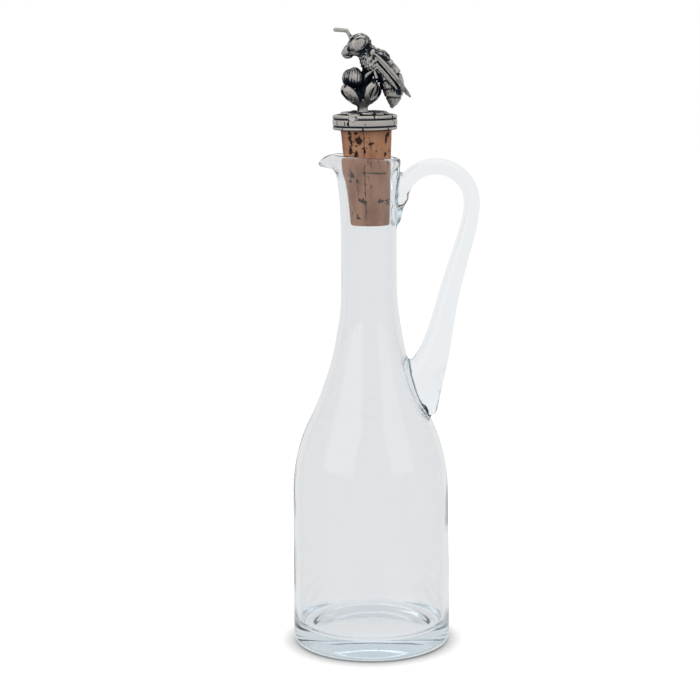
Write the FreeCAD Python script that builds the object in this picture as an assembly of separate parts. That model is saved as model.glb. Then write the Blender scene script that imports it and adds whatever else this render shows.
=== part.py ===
import FreeCAD, Part
import math
import os

# A cruet: a blown clear glass bottle with a pulled spout and an applied handle, closed by
# a tapered cork whose cast pewter cap carries a bee on a blossom.
# Millimetres, +Z up. The origin is on the bottle's axis, in the plane that it stands on.
# The spout points to -X and the handle stands at +X.

# Bottle, outside.
BODY_R = 35.2            # radius above the heel
HEEL_R = 3.5             # rounding between foot and side
SHOULDER_R = 34.6        # radius where the side turns in
SHOULDER_Z = 69.0
SHOULDER_ARC_R = 75.0    # bulging arc of the shoulder
NECK_R = 12.2
NECK_Z = 165.0           # the neck is straight from here up
FLARE_Z = 180.0          # the neck opens to the mouth from here up
MOUTH_FLARE = 2.1        # the mouth is this much wider than the neck, on the radius
MOUTH_Z = 218.3          # rim height on the axis
RIM_SLANT_DEG = 5.0      # the rim rises towards the spout

# Bottle, inside.
BODY_WALL = 2.3
NECK_WALL = 2.4
FLOOR_T = 8.6            # glass under the edge of the inner floor
FLOOR_CORNER_R = 4.0
FLOOR_DOME = 2.0         # rise of the inner floor at its middle
PUNT_R = 26.5            # hollow under the foot
PUNT_H = 4.0
MOUTH_WALL = 2.6         # glass at the rim
SEAT_Z = 207.3           # the bore opens from here up

# Spout, pulled out of the rim.
SPOUT_REACH = 21.7       # from the axis to the tip
SPOUT_WALL = 1.9
SPOUT_ROOT_W = 19.0      # width where it leaves the neck
SPOUT_TIP_W = 8.0
SPOUT_UNDER_Z = 212.1    # underside
SPOUT_ROOT_DROP = 3.5    # how much lower the underside starts
SPOUT_TIP_Z = 214.4      # where the drooping rim meets the tip
SPOUT_TAPER = 1.6        # over 1, the sides pull in late, near the tip
SPOUT_ROUND_FROM = 0.8   # share of the length where the tip starts to round off
SPOUT_BLUNT = 0.92       # 1 would close the tip to a point
DROOP_START = 0.36       # share of the reach over which the rim still rises
DROOP_END = 0.87         # share of the drop over which the tip stands upright

# Handle, a solid rod of glass with an oval section.
HANDLE_REACH = 48.6      # from the axis to its outermost line
ARCH_R = 15.75           # centre line of the top arch
ARCH_Z = 197.8
HANDLE_T = 7.1           # in the plane of the handle
HANDLE_W = 10.0          # across it
FOOT_W = 17.0            # across the thick lower end
FOOT_Z = 107.0           # where the outer edge starts to round off on the shoulder
FOOT_PROUD = 5.4         # how far it stands out from the shoulder there
FOOT_R = 3.5             # rounding of the lower end
CROTCH_Z = 124.0         # where the inner edge has run into the neck
CROTCH_SINK = 3.6        # how deep inside the neck's surface it ends
LEG_OUTER_BOW = ((0.24, 0.4), (0.47, -0.5), (0.77, 0.4))
LEG_INNER_BOW = ((0.15, 2.1), (0.37, 2.8), (0.58, 3.6), (0.8, 4.4), (0.945, 2.3))
ARCH_START_DEG = 172.0   # where the arch springs from the neck
TAIL_L = 14.4            # pressed tail below the upper joint
TAIL_W = 9.0
TAIL_PROUD = 2.3
TAIL_Z = 196.5
TAIL_SINK = 1.9          # how much of that proud half lies inside the neck's surface
KNOB_INSET = 0.1         # the knob at the upper end is this much smaller than the rod
FOOT_BLUNT = 0.8         # 1 would close the lower end to a point

# Cork.
CORK_TIP_UNDER = 1.3     # narrower than the bore at its tip, on the radius
CORK_TOP_OVER = 1.35     # and wider than the bore at its top
CORK_L = 41.2
CORK_LEAN_DEG = 2.2      # leans towards the spout
SEAT_GAP = 0.1           # between the cork and the bore where it seats

# Pewter cap.
CAP_R = 14.1
CAP_H = 6.5
CAP_OFFSET = 0.45        # the cap sits this far off the cork's centre, towards the spout
CAP_EDGE_STEP = 1.0      # rounding between the side and the flat top
CAP_BEAD_H = 1.6         # bead along the lower edge
CAP_BAND_H = 3.25        # plain band above the bead
GROOVE_W = 0.5           # two V grooves round the side
GROOVE_D = 0.45
EDGE_R = 0.6

# Leaf wreath on the cap.
LEAVES = 9
LEAF_L = 8.8
LEAF_W = 5.4
LEAF_T = 1.5
LEAF_SINK = 0.4          # how deep a leaf lies in the cap
LEAF_RING_R = 7.3        # centres of the leaves
LEAF_SWEEP_DEG = 38.0    # each leaf turns this far off the ring's tangent
LEAF_LIFT = 0.25         # every second leaf lies this much higher
FOLD_LEAF_DEG = 248.0    # the leaf that folds over the edge of the cap
FOLD_LEAF_DROP = 1.7
FOLD_LEAF_W = 5.0
FOLD_LEAF_PROUD = 0.45

# Blossom: stem, petals, bulb. Places are (x, y, z) from the middle of the cap's top.
STEM_R = 1.95
STEM_H = 3.4
CALYX_R = 3.8            # the cup under the petals, at its top
CALYX_H = 3.0
CALYX_DROP = 1.4         # how far it reaches down over the stem
BLOSSOM_X = -1.0
PETAL_L = 6.0            # half length
PETAL_W = 4.1            # half width
PETAL_T = 2.3            # half thickness
PETAL_ROOT_R = 0.9       # where a petal starts, from the blossom's axis
PETAL_BELLY = 0.2        # widest nearer the tip by this share of the half length
PETAL_LEAN_DEG = 38.0    # outwards from upright
PETALS_DEG = (218.0, 322.0, 30.0, 88.0, 146.0)
HEART_R = 4.5            # closed heart of the blossom, which carries the bee
HEART_H = 8.4            # half height
HEART_Z = 7.6            # its middle, above the stem
BULB_R = 3.9             # two lobes above the petals, half width across the figure
BULB_T = 2.8             # half thickness of a lobe
BULB_H = 8.2
BULB_X = 3.9             # the bulb's middle, from the blossom's axis
BULB_Z = 11.6            # and above the stem
BULB_SPREAD = 1.7        # each lobe's distance from the bulb's middle
BULB_STEP = 0.6          # the lobe nearer the bee stands this much higher
BULB_LEAN = 0.4          # the lobes' tops lean apart by this

# Bee. Each part's place is counted from the part that carries it.
THORAX_R = 5.9
THORAX_X = 5.1           # from the blossom's axis
THORAX_Z = 19.2          # above the stem
HEAD_R = 5.2
NECK_BALL_R = 4.2        # fills the gap between head and thorax
HEAD_STEP = (-5.9, 0.0, 7.2)       # from the thorax
MUZZLE_START = 2.9       # from the head's centre
MUZZLE_L = 4.2
MUZZLE_R = 4.4
MUZZLE_TIP_R = 2.1
MUZZLE_DIP_DEG = 27.0
EYE_L = 4.3              # half length
EYE_W = 2.75             # half width
EYE_T = 1.5              # half thickness
EYE_TILT_DEG = 32.0
EYE_STEP = (-0.6, 4.3, 0.3)        # from the head's centre, one on each side
ANTENNA_R = 0.7
ANTENNA_ROOT = (-3.9, 1.6, 2.6)    # from the head's centre, one on each side
ANTENNA_RISE = (-1.8, 0.0, 3.6)    # to the bend
ANTENNA_TIP = (-4.8, 0.0, 0.5)     # from the bend on
ABDOMEN_RADII = (4.3, 5.1, 5.5, 5.3, 4.4, 3.2)      # of its segments
ABDOMEN_STEP = 3.55      # from one segment to the next
BAND_GROOVE = 0.55       # depth between two segments
ABDOMEN_HEAD_DEG = -30.0 # direction of the first step
ABDOMEN_CURL_DEG = 12.5  # each step turns down by this
STING_L = 3.0            # pointed tip
STING_STEPS = (0.35, 0.7, 1.0)     # shares of its length where it is drawn in
STING_BLUNT = 0.97       # 1 would close it to a point
WING_L = 24.6
WING_W = 7.0
WING_T = 1.3
WING_BELLY = -0.15       # widest nearer the root by this share of the half length
WING_SWEEP_DEG = -50.0   # direction of the blade
WING_SPLAY_DEG = 7.0     # outwards from the body's plane
WING_ROLL_DEG = 18.0
WING_ROOT = (-0.6, 4.4, 3.2)       # from the thorax, one on each side
HINDWING_L = 16.0
HINDWING_W = 4.9
HINDWING_STEP = (-0.6, -0.4, -2.6) # from the forewing's root
LEG_R = 0.75
LEG_HIP = (0.0, 3.2, -3.0)         # from the thorax, one on each side
LEG_KNEES = ((-3.4, 4.3, -6.0), (1.0, 4.8, -6.6))
LEG_FEET = ((-4.6, 2.0, -9.6), (-2.0, 2.2, -11.0))

Z_AXIS = FreeCAD.Vector(0, 0, 1)
Y_AXIS = FreeCAD.Vector(0, 1, 0)
ORIGIN = FreeCAD.Vector(0, 0, 0)
LIP_SPARE = 8.0          # how far the raw mouth stands above the rim before it is trimmed


def point(x, z, y=0.0):
    """A point given by its place in the bottle's middle plane."""
    return FreeCAD.Vector(x, y, z)


def add(base, step, side=1):
    """The point a step away from base, with y mirrored where side is -1."""
    return FreeCAD.Vector(base.x + step[0], base.y + side * step[1], base.z + step[2])


def line(a, b):
    """A straight edge."""
    return Part.LineSegment(a, b).toShape()


def arc(centre, radius, from_deg, to_deg):
    """A circular edge in the middle plane, angles counted from +X towards +Z."""
    def at(deg):
        turn = math.radians(deg)
        return point(centre.x + radius * math.cos(turn), centre.z + radius * math.sin(turn))
    return Part.Arc(at(from_deg), at((from_deg + to_deg) / 2), at(to_deg)).toShape()


def revolved(edges):
    """A solid turned round the bottle's axis from a closed outline."""
    return Part.Face(Part.Wire(edges)).revolve(ORIGIN, Z_AXIS, 360)


def joined(pieces):
    """One solid of several that overlap, taken in one after another."""
    whole = pieces[0]
    for piece in pieces[1:]:
        whole = whole.fuse(piece)
    return whole.removeSplitter()


class Shoulder:
    """Two tangent arcs that lead from the side of the body to the straight neck."""

    def __init__(self, low_r, low_z, arc_r, high_r, high_z):
        self.low = point(low_r, low_z)
        self.high = point(high_r, high_z)
        self.arc_r = arc_r
        step_in = low_r - high_r
        rise = high_z - low_z
        both = (step_in ** 2 + rise ** 2) / (2 * step_in)
        self.neck_arc_r = both - arc_r
        self.low_centre = point(low_r - arc_r, low_z)
        self.high_centre = point(high_r + self.neck_arc_r, high_z)
        self.turn = math.degrees(math.atan2(rise, both - step_in))

    def edges(self):
        """The lower arc, then the upper one."""
        lower = arc(self.low_centre, self.arc_r, 0, self.turn)
        upper = arc(self.high_centre, self.neck_arc_r, 180 + self.turn, 180)
        return [lower, upper]

    def radius(self, z):
        """The radius at a height on the two arcs."""
        joint_z = self.low.z + self.arc_r * math.sin(math.radians(self.turn))
        if z < joint_z:
            return self.low_centre.x + math.sqrt(self.arc_r ** 2 - (z - self.low.z) ** 2)
        return self.high_centre.x - math.sqrt(self.neck_arc_r ** 2 - (z - self.high.z) ** 2)


OUTSIDE = Shoulder(SHOULDER_R, SHOULDER_Z, SHOULDER_ARC_R, NECK_R, NECK_Z)
BORE_R = NECK_R - NECK_WALL
MOUTH_R = NECK_R + MOUTH_FLARE
CORK_TIP_R = BORE_R - CORK_TIP_UNDER
CORK_TOP_R = BORE_R + CORK_TOP_OVER
INSIDE = Shoulder(SHOULDER_R - BODY_WALL, SHOULDER_Z, SHOULDER_ARC_R - BODY_WALL,
                  BORE_R, NECK_Z)


def flare(low, high):
    """An arc that leaves the vertical at low and ends at high."""
    rise = high.z - low.z
    out = high.x - low.x
    radius = (rise ** 2 + out ** 2) / (2 * out)
    turn = math.degrees(math.asin(rise / radius))
    return arc(point(low.x + radius, low.z), radius, 180, 180 - turn)


def bottle_outside():
    """The bottle as if it were solid, with its mouth standing above the rim."""
    top = MOUTH_Z + LIP_SPARE
    punt_arc_r = (PUNT_R ** 2 + PUNT_H ** 2) / (2 * PUNT_H)
    punt_turn = math.degrees(math.asin(PUNT_R / punt_arc_r))
    heel = point(BODY_R - HEEL_R, HEEL_R)
    outline = [
        arc(point(0, PUNT_H - punt_arc_r), punt_arc_r, 90, 90 - punt_turn),
        line(point(PUNT_R, 0), point(BODY_R - HEEL_R, 0)),
        arc(heel, HEEL_R, -90, 0),
        line(point(BODY_R, HEEL_R), OUTSIDE.low),
        *OUTSIDE.edges(),
        line(OUTSIDE.high, point(NECK_R, FLARE_Z)),
        flare(point(NECK_R, FLARE_Z), point(MOUTH_R, MOUTH_Z)),
        line(point(MOUTH_R, MOUTH_Z), point(MOUTH_R, top)),
        line(point(MOUTH_R, top), point(0, top)),
        line(point(0, top), point(0, PUNT_H)),
    ]
    return revolved(outline)


def cavity():
    """The free space inside the bottle."""
    top = MOUTH_Z + LIP_SPARE + 1
    wall = SHOULDER_R - BODY_WALL
    floor_r = wall - FLOOR_CORNER_R
    corner = point(floor_r, FLOOR_T + FLOOR_CORNER_R)
    dome_r = (floor_r ** 2 + FLOOR_DOME ** 2) / (2 * FLOOR_DOME)
    dome_turn = math.degrees(math.asin(floor_r / dome_r))
    outline = [
        arc(point(0, FLOOR_T + FLOOR_DOME - dome_r), dome_r, 90, 90 - dome_turn),
        arc(corner, FLOOR_CORNER_R, -90, 0),
        line(point(wall, corner.z), INSIDE.low),
        *INSIDE.edges(),
        line(INSIDE.high, point(BORE_R, SEAT_Z)),
        line(point(BORE_R, SEAT_Z), point(MOUTH_R - MOUTH_WALL, MOUTH_Z)),
        line(point(MOUTH_R - MOUTH_WALL, MOUTH_Z), point(MOUTH_R - MOUTH_WALL, top)),
        line(point(MOUTH_R - MOUTH_WALL, top), point(0, top)),
        line(point(0, top), point(0, FLOOR_T + FLOOR_DOME)),
    ]
    return revolved(outline)


def closed_curve(points):
    """A smooth closed wire through points."""
    curve = Part.BSplineCurve()
    curve.interpolate(points, PeriodicFlag=True)
    return Part.Wire(curve.toShape())


def oval_ring(centre, across, other, half_across, half_other, count=16):
    """A closed smooth oval as a spline, so that every section of a loft is alike."""
    ring = []
    for i in range(count):
        turn = 2 * math.pi * i / count
        ring.append(centre + across * (half_across * math.cos(turn))
                    + other * (half_other * math.sin(turn)))
    return closed_curve(ring)


def spout_body(inset):
    """The spout as a horn of ovals, smaller by inset on every side, with a rounded tip."""
    root_x = -NECK_R / 2
    tip_x = -SPOUT_REACH + inset
    crown_z = MOUTH_Z + LIP_SPARE / 2
    sections = []
    steps = 10
    for i in range(steps):
        part = i / (steps - 1)
        rounding = max((part - SPOUT_ROUND_FROM) / (1 - SPOUT_ROUND_FROM), 0)
        close = math.sqrt(1 - SPOUT_BLUNT * rounding ** 2)
        under = SPOUT_UNDER_Z - SPOUT_ROOT_DROP * (1 - part) ** 2 + inset
        tip_under = SPOUT_TIP_Z - SPOUT_WALL / 2
        half_height = crown_z - under - (1 - close) * (tip_under - SPOUT_UNDER_Z)
        root_half = SPOUT_ROOT_W / 2 - inset
        tip_half = SPOUT_TIP_W / 2 - inset
        half_width = (root_half + (tip_half - root_half) * part ** SPOUT_TAPER) * close
        centre = point(root_x + (tip_x - root_x) * part, crown_z)
        sections.append(oval_ring(centre, Y_AXIS, Z_AXIS, half_width, half_height))
    return Part.makeLoft(sections, True)


def above_rim():
    """Everything above the rim, which slants up to the spout and then droops along it."""
    far = 4 * MOUTH_R
    slope = math.tan(math.radians(RIM_SLANT_DEG))
    knee_x = -MOUTH_R + NECK_WALL
    knee = point(knee_x, MOUTH_Z - knee_x * slope)
    tip = point(-SPOUT_REACH, SPOUT_TIP_Z)
    reach = knee.x - tip.x
    drop = knee.z - tip.z
    droop = Part.BezierCurve()
    first = DROOP_START * reach
    droop.setPoles([knee, add(knee, (-first, 0, first * slope)),
                    add(tip, (reach / 8, 0, DROOP_END * drop)), tip])
    beyond = add(tip, (-drop / 8, 0, -drop))
    right = point(far, MOUTH_Z - far * slope)
    top = MOUTH_Z + far
    outline = [
        line(right, knee),
        droop.toShape(),
        line(tip, beyond),
        line(beyond, point(beyond.x - far, beyond.z)),
        line(point(beyond.x - far, beyond.z), point(beyond.x - far, top)),
        line(point(beyond.x - far, top), point(far, top)),
        line(point(far, top), right),
    ]
    face = Part.Face(Part.Wire(outline))
    face.translate(FreeCAD.Vector(0, -far, 0))
    return face.extrude(FreeCAD.Vector(0, 2 * far, 0))


def spindle(start, end, side, half_w, half_t, belly=0.0):
    """A closed oval body from start to end, half_w wide along side and half_t thick.

    belly moves its widest place towards the end, as a share of half its length."""
    half = (end - start) / 2
    along = half / half.Length
    across = side - along * side.dot(along)
    across.normalize()
    other = along.cross(across)
    blunt_deg = 78.0
    steps = 8
    sections = []
    for i in range(steps + 1):
        turn = math.radians(blunt_deg * (2 * i / steps - 1))
        place = math.sin(turn) / math.sin(math.radians(blunt_deg))
        place += belly * (1 - place ** 2)
        swell = math.cos(turn)
        sections.append(oval_ring(start + half + half * place, across, other,
                                  half_w * swell, half_t * swell))
    return Part.makeLoft(sections, True)


def rail(start, end, bows):
    """A curve that leaves start straight down and ends at end, bowed off the chord in x.

    Each bow is a share of the way down and the sideways step there."""
    points = [start]
    for share, step in bows:
        points.append(start + (end - start) * share + point(step, 0))
    points.append(end)
    curve = Part.BSplineCurve()
    curve.interpolate(points, InitialTangent=point(0, -1), FinalTangent=end - points[-2])
    return curve


def at_share(curve, share):
    """The point at a share of a curve's parameter range."""
    low, high = curve.FirstParameter, curve.LastParameter
    return curve.value(low + (high - low) * share)


def handle_sections():
    """The handle's sections as outer point, inner point and half width across."""
    arch = point(HANDLE_REACH - HANDLE_T / 2 - ARCH_R, ARCH_Z)
    out_r = ARCH_R + HANDLE_T / 2
    in_r = ARCH_R - HANDLE_T / 2
    stations = []
    arch_steps = 12
    for i in range(arch_steps):
        turn = math.radians(ARCH_START_DEG * (1 - i / arch_steps))
        ray = point(math.cos(turn), math.sin(turn))
        stations.append((arch + ray * out_r, arch + ray * in_r, HANDLE_W / 2))
    foot = point(OUTSIDE.radius(FOOT_Z) + FOOT_PROUD, FOOT_Z)
    crotch = point(OUTSIDE.radius(CROTCH_Z) - CROTCH_SINK, CROTCH_Z)
    outer = rail(arch + point(out_r, 0), foot, LEG_OUTER_BOW)
    inner = rail(arch + point(in_r, 0), crotch, LEG_INNER_BOW)
    leg_steps = 12
    for i in range(leg_steps + 1):
        share = i / leg_steps
        half_w = HANDLE_W / 2 + (FOOT_W - HANDLE_W) / 2 * share ** 2
        stations.append((at_share(outer, share), at_share(inner, share), half_w))
    end_steps = 4
    for i in range(1, end_steps + 1):
        turn = math.pi / 2 * i / end_steps
        tip = foot + point(FOOT_R * (math.cos(turn) - 1), -FOOT_R * math.sin(turn))
        root = crotch + (foot - point(2 * FOOT_R, 0) - crotch) * (i / end_steps)
        half_w = FOOT_W / 2 * math.sqrt(1 - FOOT_BLUNT * (i / end_steps) ** 2)
        stations.append((tip, root, half_w))
    return stations


def handle():
    """The handle, before it is cut by the bottle's inside."""
    sections = []
    for tip, root, half_w in handle_sections():
        across = tip - root
        sections.append(oval_ring((tip + root) / 2, across / across.Length, Y_AXIS,
                                  across.Length / 2, half_w))
    rod = Part.makeLoft(sections, True)
    first = handle_sections()[0]
    half_t = HANDLE_T / 2 - KNOB_INSET
    middle = (first[0] + first[1]) / 2
    knob = spindle(middle - point(0, half_t), middle + point(0, half_t), Y_AXIS,
                   HANDLE_W / 2 - KNOB_INSET, half_t)
    tail_x = NECK_R + TAIL_PROUD - TAIL_SINK
    tail = spindle(point(tail_x, TAIL_Z + TAIL_L / 2), point(tail_x, TAIL_Z - TAIL_L / 2),
                   Y_AXIS, TAIL_W / 2, TAIL_PROUD)
    return joined([rod, knob, tail])


def glass():
    """The whole glass piece: bottle, spout and handle in one."""
    body = bottle_outside().fuse(spout_body(0.0))
    body = body.cut(above_rim())
    body = body.fuse(handle())
    hollow = cavity().fuse(spout_body(SPOUT_WALL))
    return body.cut(hollow).removeSplitter()


CORK_TAPER = (CORK_TOP_R - CORK_TIP_R) / CORK_L
CORK_TIP_Z = SEAT_Z - (BORE_R - SEAT_GAP - CORK_TIP_R) / CORK_TAPER
CAP_Z = CORK_TIP_Z + CORK_L


def cork_x(z):
    """Where the cork's leaning centre line is at a height."""
    return -(z - SEAT_Z) * math.tan(math.radians(CORK_LEAN_DEG))


def cork():
    """The tapered cork, seated in the bore, with level ends."""
    tip = Part.Wire(Part.Circle(point(cork_x(CORK_TIP_Z), CORK_TIP_Z), Z_AXIS,
                                CORK_TIP_R).toShape())
    top = Part.Wire(Part.Circle(point(cork_x(CAP_Z), CAP_Z), Z_AXIS, CORK_TOP_R).toShape())
    return Part.makeLoft([tip, top], True, True)


CAP_X = cork_x(CAP_Z) - CAP_OFFSET
CAP_TOP = point(CAP_X, CAP_Z + CAP_H)


def groove(edges, z, r):
    """Add the two edges of a V groove to an outline that runs up the side of the cap."""
    edges.append(line(point(r, z - GROOVE_W / 2), point(r - GROOVE_D, z)))
    edges.append(line(point(r - GROOVE_D, z), point(r, z + GROOVE_W / 2)))


def cap_disc():
    """The turned disc of the cap, on the origin's axis, with its two grooves."""
    low = CAP_BEAD_H
    high = CAP_BEAD_H + CAP_BAND_H
    edges = [line(point(0, 0), point(CAP_R - EDGE_R, 0)),
             arc(point(CAP_R - EDGE_R, EDGE_R), EDGE_R, -90, 0),
             line(point(CAP_R, EDGE_R), point(CAP_R, low - GROOVE_W / 2))]
    groove(edges, low, CAP_R)
    edges.append(line(point(CAP_R, low + GROOVE_W / 2), point(CAP_R, high - GROOVE_W / 2)))
    groove(edges, high, CAP_R)
    top_r = CAP_R - CAP_EDGE_STEP
    edges += [line(point(CAP_R, high + GROOVE_W / 2), point(CAP_R, CAP_H - CAP_EDGE_STEP)),
              arc(point(top_r, CAP_H - CAP_EDGE_STEP), CAP_EDGE_STEP, 0, 90),
              line(point(top_r, CAP_H), point(0, CAP_H)),
              line(point(0, CAP_H), point(0, 0))]
    return revolved(edges)


def leaf_blank(length, width, thick):
    """A flat leaf on its back, its outline two arcs, centred on the origin."""
    ends = (FreeCAD.Vector(-length / 2, 0, 0), FreeCAD.Vector(length / 2, 0, 0))
    sides = (FreeCAD.Vector(0, width / 2, 0), FreeCAD.Vector(0, -width / 2, 0))
    outline = Part.Wire([Part.Arc(ends[0], sides[0], ends[1]).toShape(),
                         Part.Arc(ends[1], sides[1], ends[0]).toShape()])
    return Part.Face(outline).extrude(FreeCAD.Vector(0, 0, thick))


def wreath():
    """Overlapping leaves in a ring, every second one a little higher."""
    leaves = []
    for i in range(LEAVES):
        turn = 360 * i / LEAVES
        leaf = leaf_blank(LEAF_L, LEAF_W, LEAF_T + LEAF_SINK)
        leaf.rotate(ORIGIN, Z_AXIS, 90 + LEAF_SWEEP_DEG)
        leaf.translate(FreeCAD.Vector(LEAF_RING_R, 0, CAP_H - LEAF_SINK + LEAF_LIFT * (i % 2)))
        leaf.rotate(ORIGIN, Z_AXIS, turn)
        leaves.append(leaf)
    return leaves


def fold_leaf():
    """The leaf that lies over the edge of the cap, down on to its band."""
    outer_r = CAP_R + FOLD_LEAF_PROUD
    ring = Part.makeCylinder(outer_r, FOLD_LEAF_DROP + LEAF_T,
                             FreeCAD.Vector(0, 0, CAP_H - FOLD_LEAF_DROP))
    slab = Part.makeBox(outer_r, FOLD_LEAF_W, CAP_H + LEAF_T,
                        FreeCAD.Vector(LEAF_RING_R, -FOLD_LEAF_W / 2, 0))
    leaf = ring.common(slab)
    leaf.rotate(ORIGIN, Z_AXIS, FOLD_LEAF_DEG)
    return leaf


def cap():
    """The pewter cap with its wreath."""
    whole = joined([cap_disc(), *wreath(), fold_leaf()])
    whole.translate(point(CAP_X, CAP_Z))
    return whole


def rod(points, radius):
    """Round bars from point to point with a ball at each bend."""
    pieces = []
    for a, b in zip(points, points[1:]):
        pieces.append(Part.makeCylinder(radius, (b - a).Length, a, b - a))
    for bend in points[1:-1]:
        pieces.append(Part.makeSphere(radius, bend))
    return pieces


def blossom():
    """Stem, calyx, petals and the fluted bulb."""
    axis_x = CAP_TOP.x + BLOSSOM_X
    neck_z = CAP_TOP.z + STEM_H
    pieces = [Part.makeCylinder(STEM_R, STEM_H, point(axis_x, CAP_TOP.z))]
    pieces.append(Part.makeCone(STEM_R, CALYX_R, CALYX_H, point(axis_x, neck_z - CALYX_DROP)))
    low = point(axis_x, neck_z + HEART_Z - HEART_H)
    high = point(axis_x, neck_z + HEART_Z + HEART_H)
    pieces.append(spindle(low, high, Y_AXIS, HEART_R, HEART_R))
    lean = math.radians(PETAL_LEAN_DEG)
    for yaw in PETALS_DEG:
        turn = math.radians(yaw)
        outward = FreeCAD.Vector(math.cos(turn), math.sin(turn), 0)
        around = FreeCAD.Vector(-math.sin(turn), math.cos(turn), 0)
        root = point(axis_x, neck_z) + outward * PETAL_ROOT_R
        tip = root + outward * (2 * PETAL_L * math.sin(lean))
        tip.z += 2 * PETAL_L * math.cos(lean)
        pieces.append(spindle(root, tip, around, PETAL_W, PETAL_T, PETAL_BELLY))
    for side in (-1, 1):
        middle = point(axis_x - BULB_X + side * BULB_SPREAD,
                       neck_z + BULB_Z + side * BULB_STEP)
        reach = point(side * BULB_LEAN, BULB_H / 2)
        pieces.append(spindle(middle - reach, middle + reach, Y_AXIS, BULB_R, BULB_T))
    return pieces


def bee_body(thorax):
    """Thorax, head, muzzle, eyes and antennae."""
    pieces = [Part.makeSphere(THORAX_R, thorax)]
    head = add(thorax, HEAD_STEP)
    pieces.append(Part.makeSphere(HEAD_R, head))
    pieces.append(Part.makeSphere(NECK_BALL_R, (thorax + head) / 2))
    dip = math.radians(180 + MUZZLE_DIP_DEG)
    facing = point(math.cos(dip), math.sin(dip))
    start = head + facing * MUZZLE_START
    pieces.append(Part.makeCone(MUZZLE_R, MUZZLE_TIP_R, MUZZLE_L, start, facing))
    pieces.append(Part.makeSphere(MUZZLE_TIP_R, start + facing * MUZZLE_L))
    tilt = math.radians(EYE_TILT_DEG)
    half_eye = point(EYE_L * math.cos(tilt), EYE_L * math.sin(tilt))
    for side in (-1, 1):
        eye = add(head, EYE_STEP, side)
        pieces.append(spindle(eye - half_eye, eye + half_eye, Y_AXIS, EYE_T, EYE_W))
        root = add(head, ANTENNA_ROOT, side)
        bend = add(root, ANTENNA_RISE)
        tip = add(bend, ANTENNA_TIP)
        pieces += rod([root, bend, tip], ANTENNA_R)
        pieces.append(Part.makeSphere(ANTENNA_R, tip))
    return pieces


def abdomen(thorax):
    """Banded segments along a path that curls down to a pointed tip."""
    sections = []
    heading = ABDOMEN_HEAD_DEG
    centre = thorax
    count = len(ABDOMEN_RADII)
    steps = 3
    for i in range(count * steps + 1):
        turn = math.radians(heading)
        along = point(math.cos(turn), math.sin(turn))
        segment = min(i / steps, count - 1)
        first = int(segment)
        last = min(first + 1, count - 1)
        radius = ABDOMEN_RADII[first] + (ABDOMEN_RADII[last] - ABDOMEN_RADII[first]) * (
            segment - first)
        if i % steps == 0:
            radius -= BAND_GROOVE
        sections.append(oval_ring(centre, along.cross(Y_AXIS), Y_AXIS, radius, radius))
        heading -= ABDOMEN_CURL_DEG / steps
        centre = centre + along * (ABDOMEN_STEP / steps)
    last_r = ABDOMEN_RADII[-1] - BAND_GROOVE
    for share in STING_STEPS:
        radius = last_r * math.sqrt(1 - STING_BLUNT * share)
        sections.append(oval_ring(centre + along * (STING_L * share), along.cross(Y_AXIS),
                                  Y_AXIS, radius, radius))
    return Part.makeLoft(sections, True)


def wing(root, length, width, side):
    """A thin pointed blade from its root, swept back and splayed outwards."""
    sweep = math.radians(WING_SWEEP_DEG)
    splay = math.radians(WING_SPLAY_DEG) * side
    roll = math.radians(WING_ROLL_DEG)
    along = FreeCAD.Vector(math.cos(sweep) * math.cos(splay), math.sin(splay),
                           math.sin(sweep) * math.cos(splay))
    upward = FreeCAD.Vector(-math.sin(sweep), 0, math.cos(sweep))
    across = Y_AXIS * (side * math.cos(roll)) + upward * math.sin(roll)
    return spindle(root, root + along * length, across, width / 2, WING_T / 2, WING_BELLY)


def figure():
    """The bee on its blossom, cast in one piece."""
    thorax = point(CAP_TOP.x + BLOSSOM_X + THORAX_X, CAP_TOP.z + STEM_H + THORAX_Z)
    pieces = [joined(bee_body(thorax)), joined(blossom()), abdomen(thorax)]
    for side in (-1, 1):
        root = add(thorax, WING_ROOT, side)
        pieces.append(wing(root, WING_L, WING_W, side))
        pieces.append(wing(add(root, HINDWING_STEP, side), HINDWING_L, HINDWING_W, side))
    for side in (-1, 1):
        for knee, toe in zip(LEG_KNEES, LEG_FEET):
            leg = [add(thorax, LEG_HIP, side), add(thorax, knee, side), add(thorax, toe, side)]
            pieces += rod(leg, LEG_R)
    return joined(pieces)


def main():
    """Write one STEP file for each separate piece."""
    os.makedirs("parts", exist_ok=True)
    for name, build in (("glass", glass), ("cork", cork), ("cap", cap), ("figure", figure)):
        shape = build()
        if len(shape.Solids) == 1:
            shape = shape.Solids[0]
        box = shape.optimalBoundingBox()
        print(name, "solids", len(shape.Solids), "valid", shape.isValid(),
              "volume %.0f" % shape.Volume,
              "x %.1f..%.1f" % (box.XMin, box.XMax), "y %.1f..%.1f" % (box.YMin, box.YMax),
              "z %.1f..%.1f" % (box.ZMin, box.ZMax))
        shape.exportStep("parts/%s.step" % name)


main()
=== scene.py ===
"""An empty glass cruet: blown bottle, applied handle, cork, and a cast pewter cap with a bee.

Lengths inside the classes are millimetres, +Z up, on the bottle's axis; every mesh is
written in metres. The spout points to -X and the handle stands at +X.
"""
from __future__ import annotations

import logging
import math
from dataclasses import dataclass, field
from enum import Enum
from typing import Callable, Iterator, Optional, Protocol, Sequence

import bpy
import numpy as np
from mathutils import Matrix, Vector
from mathutils.kdtree import KDTree


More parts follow.
